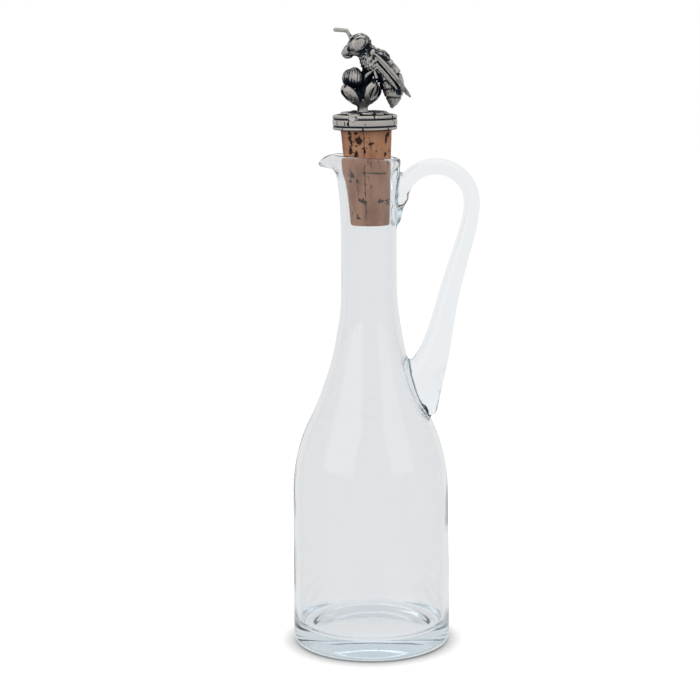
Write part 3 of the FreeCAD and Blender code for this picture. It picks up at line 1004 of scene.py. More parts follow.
@dataclass(frozen=True)
class BlownGlass:
    """Clear glass with a faint tint and the slight waves of hand work."""

    name: str = "blown_glass"
    tint: Triple = (0.872, 0.880, 0.890)
    depth_colour: Triple = (0.52, 0.70, 0.79)
    depth_density: float = 8.5

    def material(self) -> Material:
        """The finish as a node material.

        Returns:
            The material.
        """
        material, wires, shader = new_material(self.name)
        where = wires.add("ShaderNodeTexCoord").outputs["Object"]
        waves = wires.noise(where, 9.0, 2.0, (1.0, 1.0, 0.5))
        wires.join(wires.blend(waves, self.tint, tuple(c * 1.012 for c in self.tint)),
                   shader.inputs["Base Color"])
        wires.join(wires.ramp(waves, 0.3, 0.7, 0.0, 0.012), shader.inputs["Roughness"])
        shader.inputs["IOR"].default_value = GLASS_IOR
        shader.inputs["Transmission Weight"].default_value = 1.0
        wires.bump(waves, shader, 0.25, 0.5)
        depth = wires.add("ShaderNodeVolumeAbsorption", in_Density=self.depth_density)
        depth.inputs["Color"].default_value = (*self.depth_colour, 1.0)
        output = material.node_tree.nodes["Material Output"]
        wires.join(depth.outputs[0], output.inputs["Volume"])
        return material


@dataclass(frozen=True)
class StudioWhite:
    """A white studio floor with a painted soft shadow: its glow fades near the object, over a
    paint that takes real shadows.
    """

    name: str = "studio_white"
    glow: float = 0.70
    paint: float = 0.50
    shade_reach: float = 8.0

    def material(self) -> Material:
        """The finish as a node material.

        Returns:
            The material.
        """
        material, wires, shader = new_material(self.name)
        where = wires.add("ShaderNodeTexCoord").outputs["Object"]
        specks = wires.noise(where, 4.0)
        tone = tuple(self.paint for _ in range(3))
        wires.join(wires.blend(specks, tone, tuple(c * 1.01 for c in tone)),
                   shader.inputs["Base Color"])
        shader.inputs["Roughness"].default_value = 1.0
        shader.inputs["Specular IOR Level"].default_value = 0.0
        light = wires.add("ShaderNodeLightPath")
        clear = wires.calc("MAXIMUM", light.outputs["Is Glossy Ray"],
                           light.outputs["Is Transmission Ray"])
        glow = wires.add("ShaderNodeEmission", in_Color=(1, 1, 1, 1))
        # Painted contact shadow: ambient occlusion within shade_reach dims the glow that the
        # camera sees.
        painted_shadow_ao = wires.add("ShaderNodeAmbientOcclusion", samples=16)
        painted_shadow_ao.inputs["Distance"].default_value = self.shade_reach * MM
        shade = wires.calc("POWER", painted_shadow_ao.outputs["AO"], 1.2)
        shown = wires.calc("MULTIPLY", light.outputs["Is Camera Ray"], self.glow)
        wires.join(wires.calc("MULTIPLY", shown, shade), glow.inputs["Strength"])
        both = wires.add("ShaderNodeAddShader")
        wires.join(shader.outputs[0], both.inputs[0])
        wires.join(glow.outputs[0], both.inputs[1])
        plain = wires.add("ShaderNodeEmission", in_Color=(1, 1, 1, 1))
        wires.join(wires.mirrored(light, MIRROR_DIM), plain.inputs["Strength"])
        pick = wires.add("ShaderNodeMixShader")
        wires.join(clear, pick.inputs[0])
        wires.join(both.outputs[0], pick.inputs[1])
        wires.join(plain.outputs[0], pick.inputs[2])
        wires.join(pick.outputs[0], material.node_tree.nodes["Material Output"].inputs["Surface"])
        return material


# ---- the bottle


@dataclass(frozen=True)
class Shoulder:
    """Two tangent arcs from the side of the body to the straight neck."""

    low_r: float
    low_z: float
    arc_r: float
    high_r: float
    high_z: float

    def sweep(self) -> tuple[float, float]:
        """The neck arc's radius and the angle that each arc turns, in degrees.

        Returns:
            The radius and the angle.
        """
        step_in = self.low_r - self.high_r
        rise = self.high_z - self.low_z
        both = (step_in ** 2 + rise ** 2) / (2 * step_in)
        return both - self.arc_r, math.degrees(math.atan2(rise, both - step_in))

    def points(self, count: int) -> Array:
        """The two arcs as points, from the side up to the neck.

        Args:
            count: how many points on each arc.

        Returns:
            The points as (r, z).
        """
        neck_arc_r, turn = self.sweep()
        low = arc_points((self.low_r - self.arc_r, self.low_z), self.arc_r, 0, turn, count)
        high = arc_points((self.high_r + neck_arc_r, self.high_z), neck_arc_r,
                          180 + turn, 180, count)
        return chain(low, high)

    def radius(self, z: float) -> float:
        """The radius at a height on the arcs.

        Args:
            z: a height between the two ends.

        Returns:
            The radius there.
        """
        neck_arc_r, turn = self.sweep()
        if z < self.low_z + self.arc_r * math.sin(math.radians(turn)):
            return self.low_r - self.arc_r + math.sqrt(self.arc_r ** 2 - (z - self.low_z) ** 2)
        return self.high_r + neck_arc_r - math.sqrt(neck_arc_r ** 2 - (z - self.high_z) ** 2)


@dataclass
class Bottle:
    """The blown bottle with its pulled spout and applied handle, all one glass."""

    body_r: float = 35.17
    heel_r: float = 3.5
    shoulder: Shoulder = Shoulder(34.6, 69.0, 75.0, 12.2, 165.0)
    flare_z: float = 180.0
    mouth_r: float = 14.3
    mouth_z: float = 218.3
    slant_deg: float = 5.0
    body_wall: float = 2.3
    neck_wall: float = 2.4
    mouth_wall: float = 2.6
    floor_t: float = 8.6
    floor_corner_r: float = 4.0
    floor_dome: float = 2.0
    punt_r: float = 26.5
    punt_h: float = 4.0
    seat_z: float = 207.3
    lip_h: float = 1.1
    spout_spread: float = 0.45
    around: int = 176

    def outer_line(self) -> Array:
        """The outside from the middle of the foot up to the mouth, as (r, z) points.

        Returns:
            The points, one a row.
        """
        punt_arc_r = (self.punt_r ** 2 + self.punt_h ** 2) / (2 * self.punt_h)
        turn = math.degrees(math.asin(self.punt_r / punt_arc_r))
        neck_r = self.shoulder.high_r
        top = self.mouth_z - self.lip_h
        rise, out = self.mouth_z - self.flare_z, self.mouth_r - neck_r
        flare_r = (rise ** 2 + out ** 2) / (2 * out)
        z = np.linspace(self.flare_z, top, 34)
        flare = np.stack([neck_r + flare_r - np.sqrt(flare_r ** 2 - (z - self.flare_z) ** 2), z],
                         1)
        return chain(
            arc_points((0, self.punt_h - punt_arc_r), punt_arc_r, 89.2, 90 - turn, 16),
            line_points((self.punt_r, 0), (self.body_r - self.heel_r, 0), 4),
            arc_points((self.body_r - self.heel_r, self.heel_r), self.heel_r, -90, 0, 9),
            line_points((self.body_r, self.heel_r), (self.shoulder.low_r,
                                                     self.shoulder.low_z), 26),
            self.shoulder.points(30),
            line_points((neck_r, self.shoulder.high_z), (neck_r, self.flare_z), 8),
            flare)

    def inner_line(self) -> Array:
        """The inside from the mouth down to the middle of the floor, as (r, z) points.

        Returns:
            The points, one a row.
        """
        wall = self.shoulder.low_r - self.body_wall
        bore = self.shoulder.high_r - self.neck_wall
        inside = Shoulder(wall, self.shoulder.low_z, self.shoulder.arc_r - self.body_wall,
                          bore, self.shoulder.high_z)
        floor_r = wall - self.floor_corner_r
        corner_z = self.floor_t + self.floor_corner_r
        dome_r = (floor_r ** 2 + self.floor_dome ** 2) / (2 * self.floor_dome)
        turn = math.degrees(math.asin(floor_r / dome_r))
        lip_r = self.mouth_r - self.mouth_wall
        return chain(
            line_points((lip_r, self.mouth_z - self.lip_h), (bore, self.seat_z), 14),
            line_points((bore, self.seat_z), (bore, self.shoulder.high_z), 20),
            inside.points(24)[::-1],
            line_points((wall, self.shoulder.low_z), (wall, corner_z), 18),
            arc_points((floor_r, corner_z), self.floor_corner_r, 0, -90, 9),
            arc_points((0, self.floor_t + self.floor_dome - dome_r), dome_r, 90 - turn,
                       89.2, 18))

    def beak(self, z: Array, inner: bool) -> tuple[Array, Array]:
        """How far the spout draws the mouth out and down at each height.

        Args:
            z: heights on the round mouth.
            inner: whether the points lie on the inside.

        Returns:
            The step towards -X and the step in z.
        """
        if inner:
            at = (203.0, 206.0, 208.5, 210.8, 212.6, 214.4, 216.0, 217.2, 217.9)
            out = (0.0, 0.1, 0.9, 2.3, 4.2, 6.5, 8.1, 8.7, 8.4)
            drop = (0.0, 0.1, 0.35, 0.6, 0.4, -0.4, -1.5, -2.3, -2.6)
        else:
            at = (200.0, 204.0, 207.5, 210.0, 211.8, 213.2, 214.6, 216.0, 217.2, 218.3)
            out = (0.0, 0.05, 0.3, 0.9, 2.1, 3.7, 5.4, 6.8, 7.5, 7.3)
            drop = (0.0, 0.0, 0.25, 0.8, 0.5, -0.5, -1.9, -3.1, -3.6, -3.3)
        return np.interp(z, at, out), np.interp(z, at, drop)

    def turned(self, line: Array, inner: bool) -> Array:
        """Rings of places for a line turned round the axis, with the spout drawn out.

        Args:
            line: (r, z) points.
            inner: whether the line is on the inside.

        Returns:
            Rows by columns by 3 places.
        """
        angle = np.linspace(0, 2 * math.pi, self.around, endpoint=False)
        r, z = np.repeat(line[:, :1], self.around, 1), np.repeat(line[:, 1:], self.around, 1)
        x, y = r * np.cos(angle), r * np.sin(angle)
        slope = math.tan(math.radians(self.slant_deg))
        lift = np.clip((z - self.seat_z) / (self.mouth_z - self.seat_z), 0.0, 1.1)
        off = np.abs(angle - math.pi)
        draw = np.exp(-(off / self.spout_spread) ** 2)
        out, drop = self.beak(z, inner)
        z = z - lift * x * slope + draw ** 3 * drop
        x = x - draw * out
        y = y * (1 - 0.12 * draw * out / 8)
        return np.stack([x, y, z], -1)

    def lip(self, outer: Array, inner: Array) -> Array:
        """Rounded rings that lead over the rim from the outside to the inside.

        Args:
            outer: the last ring outside.
            inner: the first ring inside.

        Returns:
            Rings of places between the two.
        """
        rings = []
        for turn in np.linspace(0, math.pi, 9)[1:-1]:
            share = (1 - math.cos(turn)) / 2
            ring = outer * (1 - share) + inner * share
            ring[:, 2] += self.lip_h * math.sin(turn)
            rings.append(ring)
        return np.array(rings)

    def shell(self) -> Piece:
        """The bottle and spout as one closed skin.

        Returns:
            The object.
        """
        outer = self.turned(self.outer_line(), False)
        inner = self.turned(self.inner_line(), True)
        rings = np.concatenate([outer, self.lip(outer[-1], inner[0]), inner])
        verts, faces = ring_solid(rings)
        return write_mesh("bottle_shell", verts, faces)


def relaxed(verts: Array, faces: Array, rounds: int) -> Array:
    """Evens out a skin without shrinking it.

    Args:
        verts: its points.
        faces: its four-sided faces.
        rounds: how many times each point moves towards its neighbours and back.

    Returns:
        The evened points.
    """
    first, second = faces.ravel(), np.roll(faces, -1, axis=1).ravel()
    count = np.bincount(first, minlength=len(verts)) + np.bincount(second,
                                                                    minlength=len(verts))
    for _ in range(rounds):
        for share in EVEN_STEPS:
            total = np.stack([np.bincount(first, verts[second, i], len(verts))
                              + np.bincount(second, verts[first, i], len(verts))
                              for i in range(3)], 1)
            verts = verts + share * (total / np.maximum(count, 1)[:, None] - verts)
    return verts


@dataclass
class Handle:
    """The applied handle: a rod of glass with an oval section, a knob and a pressed tail."""

    bottle: Bottle
    reach: float = 48.6
    arch_r: float = 15.75
    arch_z: float = 197.8
    thick: float = 7.1
    width: float = 10.0
    foot_w: float = 17.0
    foot_z: float = 107.0
    foot_proud: float = 5.4
    foot_r: float = 3.5
    crotch_z: float = 124.0
    crotch_sink: float = 3.6
    outer_bow: tuple[tuple[float, float], ...] = ((0.24, 0.4), (0.47, -0.5), (0.77, 0.4))
    inner_bow: tuple[tuple[float, float], ...] = ((0.15, 2.1), (0.37, 2.8), (0.58, 3.6),
                                                  (0.8, 4.4), (0.945, 2.3))
    arch_start_deg: float = 172.0
    tail_l: float = 14.4
    tail_w: float = 9.0
    tail_proud: float = 2.3
    tail_z: float = 196.5
    flow: float = 3.2
    arch_steps: int = 40
    leg_steps: int = 70
    foot_steps: int = 12
    pitch: float = 0.45
    inset: float = 0.15
    even_rounds: int = 12

    def rail(self, start: Array, end: Array, bows: Sequence[tuple[float, float]],
             count: int) -> Array:
        """A line down the leg, bowed off its chord in x by each step at its share.

        Args:
            start: where the line starts, as (x, z).
            end: where it ends.
            bows: pairs of a share of the way and a step in x.
            count: how many points.

        Returns:
            The points, one a row.
        """
        knots = [start, *(start + (end - start) * share + np.array([step, 0.0])
                          for share, step in bows), end]
        return spline(np.array(knots), count, start_slope=(0.0, -1.0))

    def stations(self) -> list[Section]:
        """Outer point, inner point and half width of each section along the handle.

        Returns:
            One row a section, from the knob down to the foot.
        """
        arch = np.array([self.reach - self.thick / 2 - self.arch_r, self.arch_z])
        out_r, in_r = self.arch_r + self.thick / 2, self.arch_r - self.thick / 2
        rows: list[Section] = []
        for i in range(self.arch_steps):
            turn = math.radians(self.arch_start_deg * (1 - i / self.arch_steps))
            ray = np.array([math.cos(turn), math.sin(turn)])
            rows.append((arch + ray * out_r, arch + ray * in_r, self.width / 2))
        foot = np.array([self.bottle.shoulder.radius(self.foot_z) + self.foot_proud,
                         self.foot_z])
        crotch = np.array([self.bottle.shoulder.radius(self.crotch_z) - self.crotch_sink,
                           self.crotch_z])
        steps = self.leg_steps
        outer = self.rail(arch + (out_r, 0), foot, self.outer_bow, steps + 1)
        inner = self.rail(arch + (in_r, 0), crotch, self.inner_bow, steps + 1)
        for i in range(steps + 1):
            grow = (self.foot_w - self.width) / 2 * (i / steps) ** 2
            rows.append((outer[i], inner[i], self.width / 2 + grow))
        for i in range(1, self.foot_steps + 1):
            share = i / self.foot_steps
            turn = math.pi / 2 * share
            tip = foot + np.array([self.foot_r * (math.cos(turn) - 1),
                                   -self.foot_r * math.sin(turn)])
            root = crotch + (foot - np.array([2 * self.foot_r, 0]) - crotch) * share
            rows.append((tip, root, self.foot_w / 2 * math.sqrt(1 - 0.8 * share ** 2)))
        return rows

    def outline(self, rows: list[Section]) -> Array:
        """The handle's closed outline in the middle plane, as (x, z) points.

        Args:
            rows: the sections.

        Returns:
            The points of the closed line.
        """
        outer = np.array([row[0] for row in rows])
        inner = np.array([row[1] for row in rows])
        return np.concatenate([outer, inner[::-1]])

    def build(self) -> Piece:
        """The handle with its knob and tail, flowing out on to the bottle.

        Returns:
            The object.
        """
        rows = self.stations()
        low = (self.bottle.shoulder.high_r - 2.2, -self.foot_w / 2 - 4, self.foot_z - 8)
        high = (self.reach + 1.5, self.foot_w / 2 + 4, self.arch_z + self.arch_r + 6)
        clay = Sculpt(np.array(low), np.array(high), self.pitch)
        clay.add(Strap(self.outline(rows), rows))
        tip, root, half_w = rows[0]
        middle = (tip + root) / 2
        half_t = self.thick / 2
        clay.add(Blob((middle[0], 0, middle[1]), (half_t, half_w - 0.1, half_t)), 1.0)
        clay.add(Blob((self.bottle.shoulder.high_r + 0.4, 0, self.tail_z),
                      (self.tail_l / 2, self.tail_w / 2, self.tail_proud)), 3.0)
        grip = clay.values.copy()
        body = TurnedBody(self.bottle.outer_line(), self.inset)
        clay.add(body, self.flow)
        clay.values = np.maximum(clay.values, grip - self.flow)
        clay.carve(TurnedBody(self.bottle.outer_line(), self.bottle.neck_wall / 2), 0.0)
        verts, faces = clay.skin()
        near = np.clip(clay.sample(verts), -SNAP, SNAP)
        verts = relaxed(verts - clay.slope(verts) * near[:, None], faces, self.even_rounds)
        return write_mesh("handle_grip", verts, faces.tolist())


@dataclass
class Strap:
    """A bent rod with an oval section, given by its outline and its width along it."""

    outline: Array
    rows: list[Section]
    spare: float = 4.5
    fill: float = 0.97
    least_half: float = 1.0

    def box(self) -> tuple[Array, Array]:
        """The box round the rod.

        Returns:
            The lowest and the highest corner.
        """
        low, high = self.outline.min(0) - self.spare, self.outline.max(0) + self.spare
        wide = max(row[2] for row in self.rows) + self.spare
        return np.array([low[0], -wide, low[1]]), np.array([high[0], wide, high[1]])

    def distance(self, points: Array) -> Array:
        """Signed distance, from the outline in the middle plane and the width there.

        Args:
            points: places, one a row.

        Returns:
            One distance a point, negative inside.
        """
        flat, back = np.unique(points[:, (0, 2)], axis=0, return_inverse=True)
        back = back.ravel()
        middle = np.array([(row[0] + row[1]) / 2 for row in self.rows])
        flat = np.concatenate([flat, middle])
        start, end = self.outline, np.roll(self.outline, -1, axis=0)
        best = np.full(len(flat), UNMET)
        inside = np.zeros(len(flat), bool)
        for a, b in zip(start, end):
            run = b - a
            share = np.clip((flat - a) @ run / max(run.dot(run), 1e-9), 0.0, 1.0)
            best = np.minimum(best, np.linalg.norm(flat - a - share[:, None] * run, axis=1))
            if a[1] != b[1]:
                cross = (flat[:, 1] > min(a[1], b[1])) & (flat[:, 1] <= max(a[1], b[1]))
                at = a[0] + (flat[:, 1] - a[1]) * run[0] / run[1]
                inside ^= cross & (flat[:, 0] < at)
        depth = np.where(inside, -best, best)
        half = np.maximum(best[-len(middle):] * self.fill, self.least_half)
        flat = flat[:-len(middle)]
        depth = depth[:len(flat)]
        width = np.array([row[2] for row in self.rows])
        total = np.zeros(len(flat))
        thick, wide = np.zeros(len(flat)), np.zeros(len(flat))
        for place, h, w in zip(middle, half, width):
            weight = np.exp(-np.sum((flat - place) ** 2, axis=1) / 8.0) + 1e-30
            total += weight
            thick += weight * h
            wide += weight * w
        thick, wide = thick / total, wide / total
        depth, thick, wide = depth[back], thick[back], wide[back]
        u = np.maximum(1 + depth / thick, 0.0)
        v = np.abs(points[:, 1]) / wide
        level = np.hypot(u, v)
        scale = np.hypot(u * thick, v * wide) / np.maximum(level, 1e-6)
        return (level - 1) * np.maximum(scale, 1.5)


@dataclass
class TurnedBody:
    """A body turned round the axis, shrunk by inset; only its side above from_z counts."""

    line: Array
    inset: float
    from_z: float = 60.0

    def box(self) -> tuple[Array, Array]:
        """Everything that the body can reach.

        Returns:
            The lowest and the highest corner.
        """
        reach = float(self.line[:, 0].max())
        return (np.array([-reach, -reach, self.from_z]),
                np.array([reach, reach, float(self.line[:, 1].max()) + 20]))

    def distance(self, points: Array) -> Array:
        """Signed distance to the side of the body.

        Args:
            points: places, one a row.

        Returns:
            One distance a point, negative inside.
        """
        side = self.line[self.line[:, 1] > self.from_z]
        r = np.interp(points[:, 2], side[:, 1], side[:, 0])
        slope = np.interp(points[:, 2], side[:, 1], np.gradient(side[:, 0], side[:, 1]))
        away = np.hypot(points[:, 0], points[:, 1]) - r
        return away / np.sqrt(1 + slope ** 2) + self.inset


def join_solids(base: Piece, tool: Piece) -> None:
    """Joins tool to base, which keeps the result.

    Args:
        base: the solid that is changed.
        tool: the solid that it takes in.
    """
    modifier = base.modifiers.new("join", "BOOLEAN")
    modifier.operation = "UNION"
    modifier.solver = "EXACT"
    modifier.object = tool
    graph = bpy.context.evaluated_depsgraph_get()
    result = bpy.data.meshes.new_from_object(base.evaluated_get(graph))
    base.modifiers.clear()
    old = base.data
    base.data = result
    bpy.data.meshes.remove(old)


def discard(piece: Piece) -> None:
    """Removes a helper solid.

    Args:
        piece: the object.
    """
    mesh = piece.data
    bpy.data.objects.remove(piece)
    bpy.data.meshes.remove(mesh)


def mesh_places(piece: Piece) -> Array:
    """A piece's vertices in millimetres, one a row.

    Args:
        piece: the object.

    Returns:
        Its places.
    """
    flat = np.empty(len(piece.data.vertices) * 3, np.float32)
    piece.data.vertices.foreach_get("co", flat)
    return flat.reshape(-1, 3).astype(float) / MM


@dataclass
class GlassWork:
    """Melts the handle on to the bottle and softens the joint between them."""

    bottle: Bottle
    handle: Handle
    finish: BlownGlass = BlownGlass()
    soften_mm: float = 2.1
    core: float = 0.3
    pull: float = 0.6
    rounds: int = 14
    same_mm: float = 2e-3

    def melt(self, piece: Piece, sources: Array) -> None:
        """Rounds the crease where two solids met.

        Args:
            piece: the joined solid.
            sources: the vertices that the solids had before they were joined.
        """
        verts = mesh_places(piece)
        tree = KDTree(len(sources))
        for i, place in enumerate(sources):
            tree.insert(Vector(place), i)
        tree.balance()
        seam = [i for i, place in enumerate(verts) if tree.find(Vector(place))[2] > self.same_mm]
        near = KDTree(max(len(seam), 1))
        for i in seam:
            near.insert(Vector(verts[i]), i)
        near.balance()
        away = np.full(len(verts), UNMET)
        low, high = verts[seam].min(0) - self.soften_mm, verts[seam].max(0) + self.soften_mm
        for i in np.nonzero(np.all((verts > low) & (verts < high), axis=1))[0]:
            away[i] = near.find(Vector(verts[i]))[2]
        weight = 1 - smooth_step(self.core * self.soften_mm, self.soften_mm, away)
        edges = np.empty(len(piece.data.edges) * 2, np.int64)
        piece.data.edges.foreach_get("vertices", edges)
        edges = edges.reshape(-1, 2)
        edges = edges[(weight[edges[:, 0]] > 0) | (weight[edges[:, 1]] > 0)]
        for _ in range(self.rounds):
            total, count = np.zeros_like(verts), np.zeros(len(verts))
            for a, b in ((0, 1), (1, 0)):
                np.add.at(total, edges[:, a], verts[edges[:, b]])
                np.add.at(count, edges[:, a], 1)
            moved = total / np.maximum(count, 1)[:, None]
            share = (weight * self.pull * (count > 0))[:, None]
            verts = verts * (1 - share) + moved * share
        piece.data.vertices.foreach_set("co", (verts * MM).astype(np.float32).ravel())
        piece.data.update()

    def build(self) -> Piece:
        """The whole glass piece, dressed.

        Returns:
            The object.
        """
        shell, grip = self.bottle.shell(), self.handle.build()
        sources = np.concatenate([mesh_places(shell), mesh_places(grip)])
        join_solids(shell, grip)
        discard(grip)
        self.melt(shell, sources)
        shell.name = shell.data.name = "glass_bottle"
        shell.data.polygons.foreach_set("use_smooth", [True] * len(shell.data.polygons))
        settle(shell, Node.GLASS, self.finish.material())
        return shell


# ---- the cork


@dataclass(frozen=True)
class Mark:
    """A pore, slit or crack in the cork: its place, length, width, depth and lean."""

    x: float
    z: float
    length: float
    width: float
    depth: float
    lean_deg: float = 0.0


@dataclass
class Stopper:
    """The tapered cork, which leans a little in the mouth."""

    tip_r: float = 8.5
    top_r: float = 11.15
    length: float = 41.2
    lean_deg: float = 2.2
    tip_z: float = 188.643
    seat_z: float = 207.3
    edge_r: float = 0.5
    around: int = 360
    rows: int = 190
    marks: tuple[Mark, ...] = (
        Mark(-4.3, 225.6, 4.4, 3.2, 1.2, 8), Mark(-7.8, 225.6, 5.8, 1.5, 0.9, -10),
        Mark(-8.4, 228.6, 2.0, 1.8, 0.8), Mark(-5.4, 229.0, 1.2, 2.0, 0.6),
        Mark(-7.8, 221.2, 3.6, 2.5, 0.9, 12), Mark(-5.2, 219.4, 1.9, 1.8, 0.8),
        Mark(8.0, 226.7, 4.9, 2.0, 0.9, 15), Mark(9.0, 228.4, 2.5, 1.3, 0.7, 10),
        Mark(9.1, 220.9, 2.5, 1.2, 0.7, -12), Mark(7.5, 219.6, 1.6, 1.1, 0.6, -25),
        Mark(1.3, 224.3, 1.3, 2.1, 0.3), Mark(3.4, 221.0, 1.2, 0.5, 0.3, 40),
        Mark(-1.9, 224.0, 15.0, 0.30, 0.5, 1), Mark(-1.5, 209.5, 17.0, 0.30, 0.5, 1),
        Mark(-1.1, 195.5, 14.0, 0.28, 0.45, 1), Mark(-4.4, 207.0, 15.0, 0.20, 0.1, 1),
        Mark(2.6, 211.6, 11.6, 0.60, 0.5, 93), Mark(-6.6, 210.6, 2.4, 2.4, 0.8, 20),
        Mark(-7.0, 208.0, 1.6, 1.3, 0.6), Mark(-4.6, 208.4, 1.7, 1.6, 0.6),
        Mark(-1.9, 199.5, 1.7, 3.2, 0.6, 8), Mark(5.2, 199.5, 1.6, 3.0, 0.6, -6),
        Mark(7.7, 198.8, 3.4, 1.9, 0.6, -9), Mark(-4.4, 192.2, 1.7, 2.0, 0.6, 30),
        Mark(1.0, 215.0, 2.6, 0.4, 0.2, 4))
    back_marks: int = 26

    def all_marks(self) -> list[tuple[float, Mark]]:
        """Every mark with its angle round the cork.

        Returns:
            Pairs of an angle and a mark.
        """
        rows = []
        for mark in self.marks:
            radius = self.radius(mark.z)
            centre = self.centre_x(mark.z)
            share = max(-0.98, min(0.98, (mark.x - centre) / radius))
            rows.append((-math.acos(share), mark))
        dice = np.random.default_rng(12)
        for _ in range(self.back_marks):
            angle = dice.uniform(0.15, math.pi - 0.15)
            z = dice.uniform(self.tip_z + 2, self.tip_z + self.length - 1.5)
            rows.append((angle, Mark(0, z, dice.uniform(0.9, 3.4), dice.uniform(0.4, 0.9),
                                     dice.uniform(0.4, 0.9), dice.uniform(-30, 30))))
        return rows

    def radius(self, z: float) -> float:
        """The cork's radius at a height."""
        return self.tip_r + (self.top_r - self.tip_r) * (z - self.tip_z) / self.length

    def centre_x(self, z: float) -> float:
        """Where the leaning centre line is at a height."""
        return -(z - self.seat_z) * math.tan(math.radians(self.lean_deg))

    def build(self, finish: CorkBark) -> Piece:
        """The cork with its pores and cracks.

        Args:
            finish: the bark to dress it in.

        Returns:
            The object.
        """
        angle = np.linspace(-math.pi, math.pi, self.around, endpoint=False)
        z = np.linspace(self.tip_z, self.tip_z + self.length, self.rows)
        zz = np.repeat(z[:, None], self.around, 1)
        aa = np.repeat(angle[None, :], self.rows, 0)
        radius = self.tip_r + (self.top_r - self.tip_r) * (zz - self.tip_z) / self.length
        end = np.minimum(zz - self.tip_z, self.tip_z + self.length - zz)
        tuck = np.clip(1 - end / self.edge_r, 0, 1)
        depth = np.zeros_like(zz)
        hollow = np.zeros_like(zz)
        places = np.stack([np.cos(aa) * 10, np.sin(aa) * 10, zz], -1).reshape(-1, 3)
        ragged = 1 + 1.1 * grain(places, 0.9, 8).reshape(zz.shape)
        for turn, mark in self.all_marks():
            side = (aa - turn + math.pi) % (2 * math.pi) - math.pi
            side, rise = side * radius, zz - mark.z
            lean = math.radians(mark.lean_deg)
            along = rise * math.cos(lean) + side * math.sin(lean)
            across = side * math.cos(lean) - rise * math.sin(lean)
            across = across + 0.12 * np.sin(along * 4.3 + mark.z)
            near = (along / (mark.length / 2)) ** 2 + (across / (mark.width / 2)) ** 2
            near = near * ragged
            pit = 1 - smooth_step(0.25, 1.25, near)
            depth = np.maximum(depth, pit * mark.depth)
            hollow = np.maximum(hollow, pit)
        places = places * (1.0, 1.0, 0.6)
        rough = 0.06 * grain(places, 0.8, 3) + 0.05 * grain(places, 2.6, 5)
        rough = rough.reshape(zz.shape) - 0.08
        radius = radius - tuck ** 2 * self.edge_r * 0.6 - depth + np.minimum(rough, 0.0)
        centre = -(zz - self.seat_z) * math.tan(math.radians(self.lean_deg))
        rings = np.stack([centre + radius * np.cos(aa), radius * np.sin(aa), zz], -1)
        small = rings[-1:] * (0.05, 0.05, 1.0) + (centre[-1, 0] * 0.95, 0, 0)
        foot = rings[:1] * (0.05, 0.05, 1.0) + (centre[0, 0] * 0.95, 0, 0)
        verts, faces = ring_solid(np.concatenate([foot, rings, small]))
        level = np.concatenate([np.zeros(self.around), hollow.ravel(),
                                np.zeros(self.around), [0.0, 0.0]])
        piece = write_mesh("cork_stopper", verts, faces, level)
        settle(piece, Node.CORK, finish.material())
        return piece


# ---- the cap


